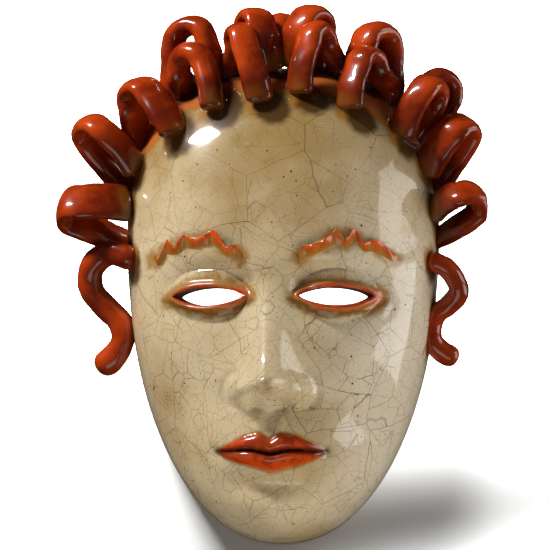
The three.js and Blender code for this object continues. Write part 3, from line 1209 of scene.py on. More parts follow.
@dataclass
class FaceShell:
    """The hollow shell of the face, with its wall, its rim and the slits of the eyes, in mm."""

    form: FaceForm
    stains: Stains
    edge_round: float = 1.5
    edge_steps: int = 3
    warp_reach: float = 6.0
    lid_bead: float = 1.5
    lid_bead_at: float = 1.4
    lid_bead_half: float = 1.2
    bead_window: tuple[float, float] = (26.0, 14.0)
    far_off: float = 99.0
    unevenness: tuple[Ripple, ...] = (Ripple(46, 0.45, 3), Ripple(15, 0.13, 4))
    calm_rim: tuple[float, float] = (4.0, 26.0)
    row_bands: tuple[tuple[float, float, int], ...] = (
        (12, 30, 16), (30, 58, 44), (58, 80, 28), (80, 104, 18), (104, 114, 20), (114, 127, 24),
        (127, 145, 16), (145, 200, 30),
    )
    pole_rows: int = 30
    inner_every: int = 4
    middle_columns: int = 16
    slit_columns: int = 44
    side_columns: int = 40

    def rows(self) -> Array:
        """Heights of the rows from chin to crown, closer at the mouth, the nose and the eyes.

        Returns:
            The heights.
        """
        half = self.form.length / 2
        low, high = self.row_bands[0][0], self.row_bands[-1][1]
        chin = np.linspace(0, math.acos(1 - low / half), self.pole_rows, endpoint=False)
        crown = np.linspace(math.acos(high / half - 1), 0, self.pole_rows)
        bands = [np.linspace(a, b, n, endpoint=False) for a, b, n in self.row_bands]
        return np.concatenate([half - half * np.cos(chin), *bands, half + half * np.cos(crown)])

    def columns(self) -> Array:
        """Places across, with one at each corner of the slits.

        Returns:
            The places as shares of the half width.
        """
        width = float(self.form.half_width(np.array(self.form.eye_y)))
        near = (self.form.eye_x - self.form.slit_half) / width
        far = (self.form.eye_x + self.form.slit_half) / width
        middle = np.linspace(0, near, self.middle_columns, endpoint=False)
        turn = np.linspace(0, math.pi, self.slit_columns + 1)
        slit = near + (far - near) * (1 - np.cos(turn)) / 2
        side = np.sin(np.linspace(math.asin(far), math.pi / 2, self.side_columns + 1))[1:]
        right = np.concatenate([middle, slit, side])
        return np.concatenate([-right[:0:-1], right])

    def warped(self, x: Array, y: Array, over: bool) -> Array:
        """Rows bent open round the slits.

        Args:
            x: How far right of the middle line.
            y: How far up from the chin.
            over: Whether the rows lie over the eye line.

        Returns:
            Their heights when bent.
        """
        up, down = self.form.slit_half_height(x)
        if over:
            return y + up * np.exp(-np.maximum(y - self.form.eye_y, 0) / self.warp_reach)
        return y - down * np.exp(-np.maximum(self.form.eye_y - y, 0) / self.warp_reach)

    def outer_height(self, x: Array, y: Array) -> Array:
        """The outer face with the rolled edge of the lids and the unevenness of the clay.

        Args:
            x: How far right of the middle line.
            y: How far up from the chin.

        Returns:
            Its height over the rim.
        """
        z = self.form.height(x, y)
        half_x, half_y = self.bead_window
        near = np.abs(np.abs(x) - self.form.eye_x) < half_x
        near &= np.abs(y - self.form.eye_y) < half_y
        far = np.full(x.shape, self.far_off)
        spots = np.stack([np.abs(x[near]), y[near]], -1)
        far[near] = nearest(spots, self.form.slit_outline())
        z = z + self.lid_bead * bell(far, self.lid_bead_at, self.lid_bead_half)
        spots = np.stack([x, y, z], -1)
        z = z + sum(ripple.at(spots) for ripple in self.unevenness) * ease(z, *self.calm_rim)
        lift = self.edge_round
        return lift + z * (self.form.depth - lift) / self.form.depth

    def sheet(self, over: bool, rows: Array, columns: Array) -> Array:
        """The outer face over or under the eye line.

        Args:
            over: Whether it lies over the eye line.
            rows: Heights of the rows, from chin to crown.
            columns: Places across, as shares of the half width.

        Returns:
            A grid of points.
        """
        y, share = np.meshgrid(rows, columns, indexing="ij")
        x = self.form.half_width(y) * share
        bent = self.warped(x, y, over)
        z = np.maximum(self.outer_height(x, bent), self.edge_round)
        rim = (np.abs(share) > 1 - 1e-9) | (y < 1e-9) | (y > self.form.length - 1e-9)
        return np.stack([x, np.where(rim, y, bent), np.where(rim, self.edge_round, z)], -1)

    def inner_sheet(self, over: bool, rows: Array, columns: Array) -> Array:
        """The face of the hollow over or under the eye line.

        Args:
            over: Whether it lies over the eye line.
            rows: Heights of the rows, from chin to crown.
            columns: Places across, as shares of the half width.

        Returns:
            A grid of points.
        """
        form = self.form
        y, share = np.meshgrid(rows, columns, indexing="ij")
        bent = self.warped(form.half_width(y) * share, y, over)
        rim = (np.abs(share) > 1 - 1e-9) | (y < 1e-9) | (y > form.length - 1e-9)
        shrink = (form.length - 2 * form.wall) / form.length
        y_in = form.wall + np.where(rim, y, bent) * shrink
        x = form.half_width(form.wall + y * shrink, form.wall) * share
        z = np.where(rim, self.edge_round, np.maximum(form.hollow(x, y_in), self.edge_round))
        return np.stack([x, y_in, z], -1)

    def rounded(self, outline: Array, side: Side, reach: float) -> list[Array]:
        """Lines that carry a rim's outline round its edge down to the rim plane.

        Args:
            outline: Points of one side of the outline, from chin to crown.
            side: The side that it lies on.
            reach: How far the edge moves in, or out if negative.

        Returns:
            The lines, from the one next to the outline to the one on the plane.
        """
        run = np.gradient(outline[:, :2], axis=0)
        inward = unit(np.stack([-run[:, 1], run[:, 0]], -1)) * side.value
        inward[0] = (0, 1)
        inward[-1] = (0, -1)
        lines = []
        for step in range(1, self.edge_steps + 1):
            angle = math.pi / 2 * step / self.edge_steps
            line = outline.copy()
            line[:, :2] += inward * reach * (1 - math.cos(angle))
            line[:, 2] = self.edge_round * (1 - math.sin(angle))
            lines.append(line)
        return lines

    def framed(self, sheet: Array, reach: float) -> Array:
        """Adds a sheet's rounded edge on both sides.

        Args:
            sheet: The grid of points.
            reach: How far the edge moves in, or out if negative.

        Returns:
            The wider grid.
        """
        left = self.rounded(sheet[:, 0], Side.LEFT, reach)
        right = self.rounded(sheet[:, -1], Side.RIGHT, reach)
        return np.concatenate([np.stack(left[::-1], 1), sheet, np.stack(right, 1)], axis=1)

    def build(self, glaze: bpy.types.Material) -> bpy.types.Object:
        """Builds the shell.

        Args:
            glaze: The cream glaze, stained where lips, lids, brows and hair meet it, with painted
                shade near them.

        Returns:
            The piece.
        """
        rows, columns = self.rows(), self.columns()
        eye = int(np.argmin(np.abs(rows - self.form.eye_y)))
        inner_rows = sorted({*range(0, len(rows), self.inner_every), eye, len(rows) - 1})
        inner_eye = inner_rows.index(eye)
        skin = Skin()
        width = float(self.form.half_width(np.array(self.form.eye_y)))
        x_at_eye = np.abs(columns * width)
        inside_slit = np.abs(x_at_eye - self.form.eye_x) < self.form.slit_half - 1e-6
        numbers, inner = [], []
        for over in (False, True):
            band = rows[eye:] if over else rows[: eye + 1]
            numbers.append(skin.lay(self.framed(self.sheet(over, band, columns), self.edge_round)))
            band = rows[inner_rows[inner_eye:]] if over else rows[inner_rows[: inner_eye + 1]]
            sheet = self.inner_sheet(over, band, columns)
            inner.append(skin.lay(self.framed(sheet, -self.edge_round)))
        for grid in (*numbers, *inner):
            skin.stretch(grid)
        extra = self.edge_steps
        spans = np.flatnonzero(np.diff(inside_slit.astype(int)))
        for start, stop in zip(spans[::2], spans[1::2]):
            cut = slice(start + extra, stop + extra + 2)
            skin.stretch(self.cut_wall(skin, numbers[0][-1, cut], inner[0][-1, cut]))
            skin.stretch(self.cut_wall(skin, numbers[1][0, cut], inner[1][0, cut]))
        self.close_rim(skin, numbers, inner, inner_rows, eye)
        mesh = skin.mesh("face_shell", self.form, sharp_degrees=60)
        self.stains.mark(mesh)
        mesh.materials.append(glaze)
        return add_piece("face_shell", mesh)

    def cut_wall(self, skin: Skin, outer: Array, inner: Array, steps: int = 4) -> Array:
        """The cut face of the wall in a slit.

        Args:
            skin: What the points are added to.
            outer: The numbers of the points along the outer edge.
            inner: The same along the inner edge.
            steps: How many faces there are from edge to edge.

        Returns:
            The grid of numbers, from the outer edge to the inner one.
        """
        points = np.concatenate(skin.points)
        share = np.linspace(0, 1, steps + 1)[1:-1, None, None]
        between = points[outer] * (1 - share) + points[inner] * share
        return np.vstack([outer[None], skin.lay(between), inner[None]])

    def close_rim(
        self, skin: Skin, outer: list[Array], inner: list[Array], inner_rows: list[int], eye: int
    ) -> None:
        """Closes the flat of the rim between the outer and the inner edge.

        Args:
            skin: What the faces are added to.
            outer: The outer grids, under and over the eye line.
            inner: The inner grids, under and over the eye line.
            inner_rows: Which outer rows the inner ones follow.
            eye: The number of the row on the eye line.
        """
        for column in (0, -1):
            outside = np.concatenate([outer[0][:-1, column], outer[1][:, column]])
            inside = np.concatenate([inner[0][:-1, column], inner[1][:, column]])
            for k, (low, high) in enumerate(zip(inner_rows, inner_rows[1:])):
                ring = [*outside[low : high + 1], inside[k + 1], inside[k]]
                skin.faces.append(tuple(int(n) for n in ring))


def scale_of(size_mm: float) -> float:
    """The scale of a pattern whose patches are about a size across."""
    return 1 / (size_mm * MM)


@dataclass(frozen=True)
class LeadGlaze:
    """Fired lead glaze: a thick glassy coat whose face is a little uneven, like orange peel."""

    ior: float = 1.52
    under_gloss: float = 0.12
    coat_roughness: float = 0.07
    peel_mm: float = 6.0
    peel_strength: float = 0.1
    peel_height_mm: float = 0.6

    def start(self, name: str) -> tuple[bpy.types.Material, AddNode, Socket]:
        """Starts a glaze.

        Args:
            name: The material's name.

        Returns:
            The material, what adds a node to it, and the place on the mask that patterns follow.
        """
        material = bpy.data.materials.new(name)
        material.use_nodes = True
        add = partial(add_node, material.node_tree)
        return material, add, add("TexCoord", out="Object")

    def lay(self, add: AddNode, below: Value, layers: Iterable[tuple[Value, Value]]) -> Value:
        """Lays colours over one another.

        Args:
            add: What adds a node.
            below: The lowest colour.
            layers: How much of each next colour shows, and the colour.

        Returns:
            The colour that they give together.
        """
        for share, colour in layers:
            below = add("Mix", Choice.COLOUR, out=2, i0=share, i6=below, i7=colour)
        return below

    def finish(
        self,
        material: bpy.types.Material,
        where: Socket,
        colour: Value,
        roughness: float,
        coat: float,
    ) -> None:
        """Gives the colour its glassy coat and the slight orange peel of a fired glaze.

        Args:
            material: The material.
            where: The place on the mask.
            colour: The colour of the glaze.
            roughness: How matt the coloured layer under the coat is.
            coat: How much of the glassy coat there is.
        """
        tree = material.node_tree
        peel = add_node(tree, "TexNoise", Vector=where, Scale=scale_of(self.peel_mm))
        height = self.peel_height_mm * MM
        bump = add_node(tree, "Bump", Height=peel, Strength=self.peel_strength, Distance=height)
        feed(
            tree,
            tree.nodes["Principled BSDF"],
            Base_Color=colour,
            Roughness=roughness,
            IOR=self.ior,
            Specular_IOR_Level=self.under_gloss,
            Coat_Weight=coat,
            Coat_Roughness=self.coat_roughness,
            Coat_IOR=self.ior,
            Normal=bump,
        )


@dataclass(frozen=True)
class Run:
    """A colour that ran into the cream glaze from what touches it there, or a painted shade.

    It is read off a mark on the mesh, most often a distance in mm. From near to far its share goes
    from the first value to the last, and its edge wanders with the drift of the glaze.
    """

    mark: str
    wander: float
    near: float
    far: float
    first: float
    last: float
    colour: Value
    only: Value = 1.0

    def share(self, add: AddNode, drift: Socket) -> Socket:
        """How much of the colour shows.

        Args:
            add: What adds a node.
            drift: How far the glaze drifted, in mm.

        Returns:
            The share, from 0 to 1.
        """
        mark = add("Attribute", ("attribute_name", self.mark), out="Fac")
        place = add("Math", Choice.MULTIPLY_ADD, i0=drift, i1=self.wander, i2=mark)
        span = {"i1": self.near, "i2": self.far, "i3": self.first, "i4": self.last}
        share = add("MapRange", Choice.SMOOTH, i0=place, **span)
        return add("Math", Choice.MULTIPLY, i0=share, i1=self.only)


@dataclass(frozen=True)
class CreamCrackleGlaze(LeadGlaze):
    """Earthenware under a transparent cream lead glaze, crazed all over as it cooled.

    The glaze is thick and glassy, so it gives sharp highlights over a soft grey-beige body, with
    grey-brown stain in the crazing, pinholes, and orange and green run in from the coloured parts.
    Painted shade lies beside the hair, under the eyes and in the crease of the lips, and painted
    sheen greys the lower right of the face.
    """

    cream: str = "#c6b18c"
    straw: str = "#9c7f4c"
    pale: str = "#d2c3a2"
    grey: str = "#c4b8a2"
    craze: str = "#4a3c2a"
    grain: str = "#7d6742"
    pinhole: str = "#3c2814"
    red_orange: str = "#c4470f"
    lip_red: str = "#bd400b"
    brown_red: str = "#7c2808"
    shade_red: str = "#2c0e05"
    # The near-black brown of the painted shadow beside the hair.
    shadow_brown: str = "#3f2409"
    thin_orange: str = "#b5602c"
    rust: str = "#a8480f"
    ochre: str = "#94631f"
    burnt_ochre: str = "#6d4413"
    olive_and_painted_shade: str = "#6d6a3e"
    verdigris: str = "#5c7462"
    biscuit: str = "#c2a684"
    roughness: float = 0.36
    coat: float = 0.85
    cloud_mm: float = 60.0
    patch_mm: float = 20.0
    fine_mm: float = 3.2
    grain_mm: float = 0.9
    craze_cells_mm: tuple[float, ...] = (34.0, 17.0, 8.5)
    craze_shown: tuple[float, ...] = (0.95, 0.8, 0.55)
    # Real cracks are about 0.05 mm wide, too fine to show here, so they are drawn wider.
    craze_width_mm: float = 0.11
    craze_drift_mm: float = 16.0
    craze_bend_mm: float = 3.0
    craze_open: float = 0.5
    pinholes_mm: tuple[tuple[float, float], ...] = ((6.2, 0.58), (3.8, 0.42), (2.1, 0.24))

    def build(self) -> bpy.types.Material:
        """Builds the glaze.

        Returns:
            Its material.
        """
        material, add, where = self.start("cream_crackle_glaze")
        up = add("SeparateXYZ", out="Y", i0=where)
        patch = add("TexNoise", Vector=where, Scale=scale_of(self.patch_mm), Detail=4.0)
        fine = add("TexNoise", Vector=where, Scale=scale_of(self.fine_mm), Detail=3.0)
        layers = (
            *self.clouds(add, where, up, patch),
            (self.crazing(add, where, up), self.craze),
            (self.pinholes(add, where), self.pinhole),
            *self.runs(add, patch, fine),
        )
        self.finish(material, where, self.lay(add, self.cream, layers), self.roughness, self.coat)
        return material

    def clouds(
        self, add: AddNode, where: Socket, up: Socket, patch: Socket
    ) -> list[tuple[Socket, str]]:
        """The uneven body: straw where the glaze is thick, pale patches, grain, and grey tint and
        painted sheen on the lower right.

        Args:
            add: What adds a node.
            where: The place on the mask.
            up: How far up the mask it is.
            patch: The noise that the patches follow.

        Returns:
            How much of each colour shows, and the colour.
        """
        across = add("SeparateXYZ", out="X", i0=where)
        cloud = add("TexNoise", Vector=where, Scale=scale_of(self.cloud_mm), Detail=3.0)
        forehead = add("MapRange", Choice.SMOOTH, i0=up, i1=0.0, i2=0.06, i3=0.0, i4=0.2)
        thick = add("Math", Choice.ADD, i0=forehead, i1=cloud)
        low = add("MapRange", Choice.SMOOTH, i0=up, i1=-0.02, i2=0.03, i3=1.0, i4=0.35)
        # Grey on the lower right of the face: partly the glaze's tint, partly painted sheen where
        # the right soft boxes veil it.
        right = add("MapRange", Choice.SMOOTH, i0=across, i1=0.012, i2=0.055, i3=0.0, i4=0.75)
        grain = add("TexNoise", Vector=where, Scale=scale_of(self.grain_mm))
        grain = add("MapRange", Choice.SMOOTH, i0=grain, i1=0.56, i2=0.72, i3=0.0, i4=0.4)
        return [
            (add("MapRange", Choice.SMOOTH, i0=thick, i1=0.36, i2=0.76), self.straw),
            (add("MapRange", Choice.SMOOTH, i0=patch, i1=0.5, i2=0.8, i3=0.0, i4=0.32), self.pale),
            (add("Math", Choice.MULTIPLY, i0=right, i1=low), self.grey),
            (grain, self.grain),
        ]

    def crazing(self, add: AddNode, where: Socket, up: Socket) -> Value:
        """The cracks in the glaze.

        Long cracks split the glaze first. Each later net is broken off at the earlier cracks, as in
        real crazing, because every cell of one net shifts the next net by an amount of its own. The
        finer nets are closed up on the forehead.

        Args:
            add: What adds a node.
            where: The place on the mask.
            up: How far up the mask it is.

        Returns:
            How much a place lies in a crack.
        """
        scale = scale_of(self.craze_drift_mm)
        drift = add("TexNoise", out="Color", Vector=where, Scale=scale, Detail=4.0)
        centred = add("VectorMath", Choice.SUBTRACT, i0=drift, i1=(0.5, 0.5, 0.5))
        bend = add("VectorMath", Choice.SCALE, i0=centred, Scale=self.craze_bend_mm * MM)
        spot = add("VectorMath", Choice.ADD, i0=where, i1=bend)
        fewer = {"i3": 1.0, "i4": self.craze_open}
        closed = add("MapRange", Choice.SMOOTH, i0=up, i1=-0.01, i2=0.05, **fewer)
        total: Value = 0.0
        nets = zip(self.craze_cells_mm, self.craze_shown, (1.0, closed, closed))
        for cells, shown, closing in nets:
            scale = scale_of(cells)
            edge = add("TexVoronoi", Choice.CELL_EDGE, out="Distance", Vector=spot, Scale=scale)
            half = self.craze_width_mm / cells
            edges = {"i1": 0.3 * half, "i2": 1.6 * half}
            line = add("MapRange", Choice.SMOOTH, i0=edge, **edges, i3=1.0, i4=0.0)
            worn = add("TexNoise", Vector=where, Scale=scale_of(1.7 * cells))
            faint = {"i3": 0.4 * shown, "i4": shown}
            strength = add("MapRange", Choice.SMOOTH, i0=worn, i1=0.38, i2=0.62, **faint)
            crack = add("Math", Choice.MULTIPLY, i0=line, i1=strength)
            crack = add("Math", Choice.MULTIPLY, i0=crack, i1=closing)
            total = add("Math", Choice.MAXIMUM, i0=total, i1=crack)
            shift = add("TexVoronoi", out="Color", Vector=spot, Scale=scale)
            spot = add("VectorMath", Choice.ADD, i0=spot, i1=shift)
        return total

    def pinholes(self, add: AddNode, where: Socket) -> Value:
        """Small dark pits where bubbles burst in the glaze, a few of them large.

        Args:
            add: What adds a node.
            where: The place on the mask.

        Returns:
            Whether a place lies in a pit.
        """
        total: Value = 0.0
        for cells, radius in self.pinholes_mm:
            away = add("TexVoronoi", out="Distance", Vector=where, Scale=scale_of(cells))
            crowd = add("TexNoise", Vector=where, Scale=scale_of(2 * cells))
            sizes = {"i3": 0.35 * radius / cells, "i4": radius / cells}
            size = add("MapRange", Choice.SMOOTH, i0=crowd, i1=0.42, i2=0.68, **sizes)
            pit = add("Math", Choice.LESS_THAN, i0=away, i1=size)
            total = add("Math", Choice.MAXIMUM, i0=total, i1=pit)
        return total

    def runs(self, add: AddNode, patch: Socket, fine: Socket) -> list[tuple[Socket, Value]]:
        """The colours that ran in from lids, brows, hair, nose tip and lips, the bare inside, and
        painted shade.

        Args:
            add: What adds a node.
            patch: Noise in patches.
            fine: Noise in specks.

        Returns:
            How much of each colour shows, and the colour.
        """
        wander = add("MapRange", Choice.SMOOTH, i0=patch, i1=0.3, i2=0.7, i3=-1.2, i4=1.2)
        ragged = add("MapRange", Choice.SMOOTH, i0=fine, i1=0.3, i2=0.7, i3=-0.5, i4=0.5)
        drift = add("Math", Choice.ADD, i0=wander, i1=ragged)
        mottled = add("Math", Choice.MULTIPLY_ADD, i0=fine, i1=0.8, i2=patch)
        burnt = add("MapRange", Choice.SMOOTH, i0=fine, i1=0.4, i2=0.56, i3=0.15, i4=0.9)
        mottle = add("MapRange", Choice.SMOOTH, i0=mottled, i1=0.82, i2=1.04, i3=0.0, i4=0.75)
        patchy = add("MapRange", Choice.SMOOTH, i0=fine, i1=0.42, i2=0.6)
        rim = self.lay(add, self.lip_red, [(burnt, self.brown_red)])
        lips = self.lay(add, self.lip_red, [(mottle, self.brown_red)])
        slope = self.lay(add, self.rust, [(patchy, self.ochre)])
        under_eye, over_brow, crease, crest, inner_face = (
            add("Attribute", ("attribute_name", mark), out="Fac")
            for mark in ("under_eye", "over_brow", "crease", "crest", "inner_face")
        )
        spots = add("MapRange", Choice.SMOOTH, i0=patch, i1=0.52, i2=0.62, i3=0.0, i4=0.7)
        green = add("Math", Choice.MULTIPLY, i0=spots, i1=over_brow)
        runs = (
            # Olive glaze and painted shade: a dark band under the lower lids, in olive and burnt
            # ochre.
            Run("lid", 0.9, 3.5, 8.5, 0.75, 0.0, self.olive_and_painted_shade, under_eye),
            Run("lid", 1.6, 3.4, 7.2, 0.85, 0.0, self.ochre),
            Run("lid", 0.9, 3.4, 6.4, 0.95, 0.0, self.burnt_ochre, under_eye),
            Run("lid", 1.1, 1.4, 3.8, 0.75, 0.0, self.thin_orange),
            Run("lid", 0.6, 0.7, 1.7, 1.0, 0.0, rim),
            Run("brow", 0.0, 2.5, 7.0, 1.0, 0.0, self.verdigris, green),
            Run("brow", 1.4, 1.2, 5.0, 0.8, 0.0, self.ochre),
            Run("past_hairline", 1.6, -3.0, 1.0, 0.0, 0.9, self.ochre),
            Run("past_hairline", 1.6, -0.5, 3.0, 0.0, 1.0, self.thin_orange),
            Run("strand", 1.0, 1.0, 4.6, 0.9, 0.0, self.ochre),
            # Painted shadow beside the hair.
            Run("pooled", 0.8, 1.4, 5.8, 0.92, 0.0, self.shadow_brown),
            Run("nose_tip", 1.8, 1.0, 7.0, 0.6, 0.0, self.burnt_ochre),
            Run("lip", 0.5, -1.6, 0.1, 0.0, 0.85, self.ochre),
            Run("lip", 0.5, -0.5, 1.0, 0.0, 1.0, lips),
        )
        worn = add("Math", Choice.MULTIPLY_ADD, i0=drift, i1=0.22, i2=0.95)
        crest = add("Math", Choice.MULTIPLY, i0=crest, i1=worn)
        side = add("MapRange", Choice.SMOOTH, i0=crest, i1=0.02, i2=0.2, i3=0.0, i4=0.95)
        return [
            *((run.share(add, drift), run.colour) for run in runs),
            # Painted shade in the crease between the lips.
            (crease, self.shade_red),
            (side, self.ochre),
            (add("MapRange", Choice.SMOOTH, i0=crest, i1=0.18, i2=0.4), slope),
            (add("MapRange", Choice.SMOOTH, i0=crest, i1=0.66, i2=0.9), self.red_orange),
            (inner_face, self.biscuit),
        ]


@dataclass(frozen=True)
class RedOrangeGlaze(LeadGlaze):
    """Iron-red lead glaze brushed thickly on the hair.

    It is glassy, so it gives sharp highlights, orange where it runs thin and ochre where the cream
    glaze met it at the feet of the strands. Painted shade darkens it near the feet, by the face.
    """

    red: str = "#c4420c"
    dark: str = "#8a2606"
    thin: str = "#d25a18"
    # The dark of the painted shade near the feet of the strands.
    pooled: str = "#4e1304"
    foot: str = "#84501a"
    roughness: float = 0.3
    coat: float = 0.9
    cloud_mm: float = 18.0
    speck_mm: float = 2.6

    def build(self) -> bpy.types.Material:
        """Builds the glaze.

        Returns:
            Its material.
        """
        material, add, where = self.start("red_orange_glaze")
        cloud = add("TexNoise", Vector=where, Scale=scale_of(self.cloud_mm), Detail=4.0)
        speck = add("TexNoise", Vector=where, Scale=scale_of(self.speck_mm), Detail=3.0)
        wander = add("MapRange", Choice.SMOOTH, i0=cloud, i1=0.3, i2=0.7, i3=-3.0, i4=3.0)
        off_foot = add("Attribute", ("attribute_name", "off_foot"), out="Fac")
        ragged = add("Math", Choice.ADD, i0=off_foot, i1=wander)
        # Painted shade: dark near the feet of the strands, by the face, fading out about 25 mm up
        # them.
        foot_shade = add("MapRange", Choice.SMOOTH, i0=ragged, i1=8.0, i2=25.0, i3=0.7, i4=0.0)
        layers = (
            (add("MapRange", Choice.SMOOTH, i0=cloud, i1=0.33, i2=0.6), self.red),
            (add("MapRange", Choice.SMOOTH, i0=speck, i1=0.5, i2=0.8, i3=0.0, i4=0.3), self.thin),
            (foot_shade, self.pooled),
            (add("MapRange", Choice.SMOOTH, i0=ragged, i1=5.5, i2=10.0, i3=0.7, i4=0.0), self.foot),
        )
        self.finish(material, where, self.lay(add, self.dark, layers), self.roughness, self.coat)
        return material


@dataclass(frozen=True)
class WhiteTable:
    """Matt white laminate, pressed with a dead surface, so that it mirrors nothing."""

    white: str = "#ededec"
    roughness: float = 0.9
    gloss: float = 0.1

    def build(self) -> bpy.types.Material:
        """Builds the laminate.

        Returns:
            Its material.
        """
        material = bpy.data.materials.new("matt_white_table")
        material.use_nodes = True
        tree = material.node_tree
        shader = tree.nodes["Principled BSDF"]
        sheen = {"Roughness": self.roughness, "Specular_IOR_Level": self.gloss}
        feed(tree, shader, Base_Color=self.white, **sheen)
        return material


SHELL_AND_BROWS = ("face_shell", "brow_left", "brow_right")
MASK_PIECES = (
    *SHELL_AND_BROWS, "hair_front_row", "hair_back_row", "side_lock_left", "side_lock_right"
)
TABLE_ALONE = (("floor",), ("floor",))


class LightShape(Enum):
    """The outline of a soft box."""

    OBLONG = "RECTANGLE"
    OVAL = "ELLIPSE"


@dataclass(frozen=True)
class Lamp:
    """What soft boxes and spots share: a place in metres, a power in watts and what it reaches.

    It falls on the named pieces alone, and only the named ones cast shadows in it. Where none are
    named, all of them do.
    """

    name: str
    place: Place
    watts: float
    falls_on: tuple[str, ...] = ()
    shadows_of: tuple[str, ...] = ()

    def group(self, use: str, pieces: tuple[str, ...]) -> bpy.types.Collection | None:
        """Gathers pieces that the lamp is linked to.

        Args:
            use: What they are gathered for.
            pieces: Their names.

        Returns:
            Their collection, or nothing if there are none.
        """
        if not pieces:
            return None
        group = bpy.data.collections.new(f"{self.name}_{use}")
        for piece in pieces:
            group.objects.link(bpy.data.objects[piece])
        return group

    def stand(self, light: bpy.types.Light, at: Place, along: Place) -> bpy.types.Object:
        """Stands the light at its place and aims it.

        Args:
            light: The light.
            at: What it is aimed at.
            along: The direction of its first side.

        Returns:
            The light's object.
        """
        light.energy = self.watts
        back = (Vector(self.place) - Vector(at)).normalized()
        across = (Vector(along) - back * back.dot(Vector(along))).normalized()
        turn = Matrix((across, back.cross(across), back)).transposed().to_4x4()
        holder = bpy.data.objects.new(light.name, light)
        holder.matrix_world = Matrix.Translation(self.place) @ turn
        bpy.context.scene.collection.objects.link(holder)
        links = holder.light_linking
        links.receiver_collection = self.group("lights", self.falls_on)
        links.blocker_collection = self.group("shadows", self.shadows_of)
        return holder


@dataclass(frozen=True)
class SoftBox(Lamp):
    """A soft box aimed at the mask, its sides in metres."""

    size: tuple[float, float] = (0.8, 0.8)
    along: Place = (0.0, 0.0, 1.0)
    shape: LightShape = LightShape.OBLONG
    mirrored: bool = True

    def build(self, at: Place) -> None:
        """Builds the soft box.

        Args:
            at: The place that it is aimed at.
        """
        light = bpy.data.lights.new(self.name, "AREA")
        light.shape = self.shape.value
        light.size, light.size_y = self.size
        self.stand(light, at, self.along).visible_glossy = self.mirrored


@dataclass(frozen=True)
class TableSpot(Lamp):
    """A spot straight above the table that whitens a round of its top alone, in metres."""

    radius: float = 0.3
    blend: float = 0.3
    bulb_radius: float = 0.02

    def build(self) -> None:
        """Builds the spot."""
        light = bpy.data.lights.new(self.name, "SPOT")
        light.spot_size = 2 * math.atan(self.radius / self.place[2])
        light.spot_blend = self.blend
        light.shadow_soft_size = self.bulb_radius
        self.stand(light, (*self.place[:2], 0.0), (1.0, 0.0, 0.0))


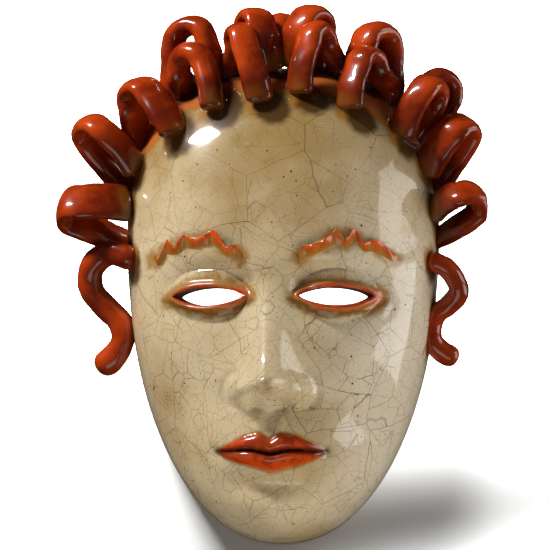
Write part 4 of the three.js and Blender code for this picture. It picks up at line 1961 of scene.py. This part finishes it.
@dataclass
class Studio:
    """A pale floor, soft studio light and a camera that looks down on the lying mask."""

    yaw: float = 5.5
    pitch: float = 3.0
    roll: float = 0.0
    distance: float = 1.2
    scale_mm: float = 0.461
    look_at: tuple[float, float, float] = (0.0028, -0.0013, 0.03)
    table_half: float = 3.0
    table_drop: float = 0.0002
    boxes: tuple[SoftBox, ...] = (
        SoftBox(
            "key_softbox", (-0.68, 0.85, 0.40), 16.5, MASK_PIECES,
            size=(0.37, 0.125), along=(0.77, 0.43, 0.47), shape=LightShape.OVAL,
        ),
        SoftBox("right_upper_pane", (0.95, 0.32, -0.03), 1.8, (), MASK_PIECES, size=(0.6, 0.32)),
        SoftBox("right_lower_pane", (0.95, -0.13, -0.03), 2.6, (), MASK_PIECES, size=(0.6, 0.44)),
        SoftBox("low_reflector", (0.1, -0.75, 0.85), 1.6, MASK_PIECES, size=(0.5, 0.7)),
        SoftBox("left_fill", (-0.9, -0.7, 0.6), 8.5, SHELL_AND_BROWS, mirrored=False),
        SoftBox("right_fill", (0.9, -0.5, 0.5), 8.5, SHELL_AND_BROWS, mirrored=False),
        SoftBox(
            "table_wash", (-0.440, 0.975, 0.540), 43, ("floor",), ("floor", "face_shell"),
            size=(0.36, 0.36),
        ),
        SoftBox("table_fill", (0.0, 0.0, 1.6), 1.3, *TABLE_ALONE, along=(1.0, 0.0, 0.0)),
    )
    spots: tuple[TableSpot, ...] = (
        TableSpot("table_spot_above", (0.062, 0.213, 1.5), 425, *TABLE_ALONE, 0.321, 0.37),
        TableSpot("table_spot_below", (0.183, -0.616, 1.5), 440, *TABLE_ALONE, 0.507, 0.17),
        TableSpot("table_spot_in_slits", (0.0046, -0.012, 1.5), 110, *TABLE_ALONE, 0.06, 0.5),
    )

    def towards_camera(self) -> Vector:
        """The direction from the mask to the camera."""
        pitched = Matrix.Rotation(math.radians(self.pitch), 3, "X") @ Vector((0, 0, 1))
        return Matrix.Rotation(math.radians(self.yaw), 3, "Y") @ pitched

    def camera(self) -> None:
        """Sets up the camera over the mask."""
        lens = bpy.data.cameras.new("camera")
        lens.sensor_width = 36.0
        lens.lens = lens.sensor_width * self.distance / (IMAGE_SIDE * self.scale_mm * MM)
        lens.clip_start = 0.05
        back = self.towards_camera()
        up = Vector((0, 1, 0))
        side = up.cross(back).normalized()
        up = back.cross(side)
        turn = Matrix((side, up, back)).transposed().to_4x4()
        holder = bpy.data.objects.new("camera", lens)
        roll = Matrix.Rotation(math.radians(self.roll), 4, "Z")
        place = Matrix.Translation(Vector(self.look_at) + back * self.distance)
        holder.matrix_world = place @ turn @ roll
        bpy.context.scene.collection.objects.link(holder)
        bpy.context.scene.camera = holder

    def floor(self) -> None:
        """A wide pale table top."""
        half = self.table_half
        mesh = bpy.data.meshes.new("floor")
        corners = [(-half, -half), (half, -half), (half, half), (-half, half)]
        mesh.from_pydata([(x, y, -self.table_drop) for x, y in corners], [], [(0, 1, 2, 3)])
        mesh.materials.append(WhiteTable().build())
        floor = bpy.data.objects.new("floor", mesh)
        bpy.context.scene.collection.objects.link(floor)
        floor.visible_diffuse = False
        floor.visible_glossy = False

    def sky(self) -> None:
        """The faint light of the room, a little stronger from above."""
        world = bpy.data.worlds.new("studio")
        world.use_nodes = True
        tree = world.node_tree
        up = add_node(tree, "TexCoord", out="Generated")
        height = add_node(tree, "SeparateXYZ", out="Z", i0=up)
        glow = add_node(tree, "MapRange", i0=height, i1=-0.1, i2=0.5, i3=0.015, i4=0.05)
        feed(tree, tree.nodes["Background"], Strength=glow, Color="#ffffff")
        bpy.context.scene.world = world
        bpy.context.scene.view_settings.view_transform = "Standard"

    def build(self) -> None:
        """Sets up the camera, the floor and the lights."""
        self.camera()
        self.floor()
        for box in self.boxes:
            box.build(self.look_at)
        for spot in self.spots:
            spot.build()
        self.sky()


def main() -> None:
    """Builds the mask and its studio, and reports each piece."""
    logging.basicConfig(level=logging.INFO, format="%(name)s: %(message)s")
    form = FaceForm()
    cream = CreamCrackleGlaze().build()
    red = RedOrangeGlaze().build()
    hair = Hair(form)
    brows = tuple(Brow(form, side) for side in Side)
    stains = Stains(form, hair, brows)
    FaceShell(form, stains).build(cream)
    hair.build(red)
    for brow in brows:
        brow.build(cream, stains)
    Studio().build()


if __name__ == "__main__":
    main()
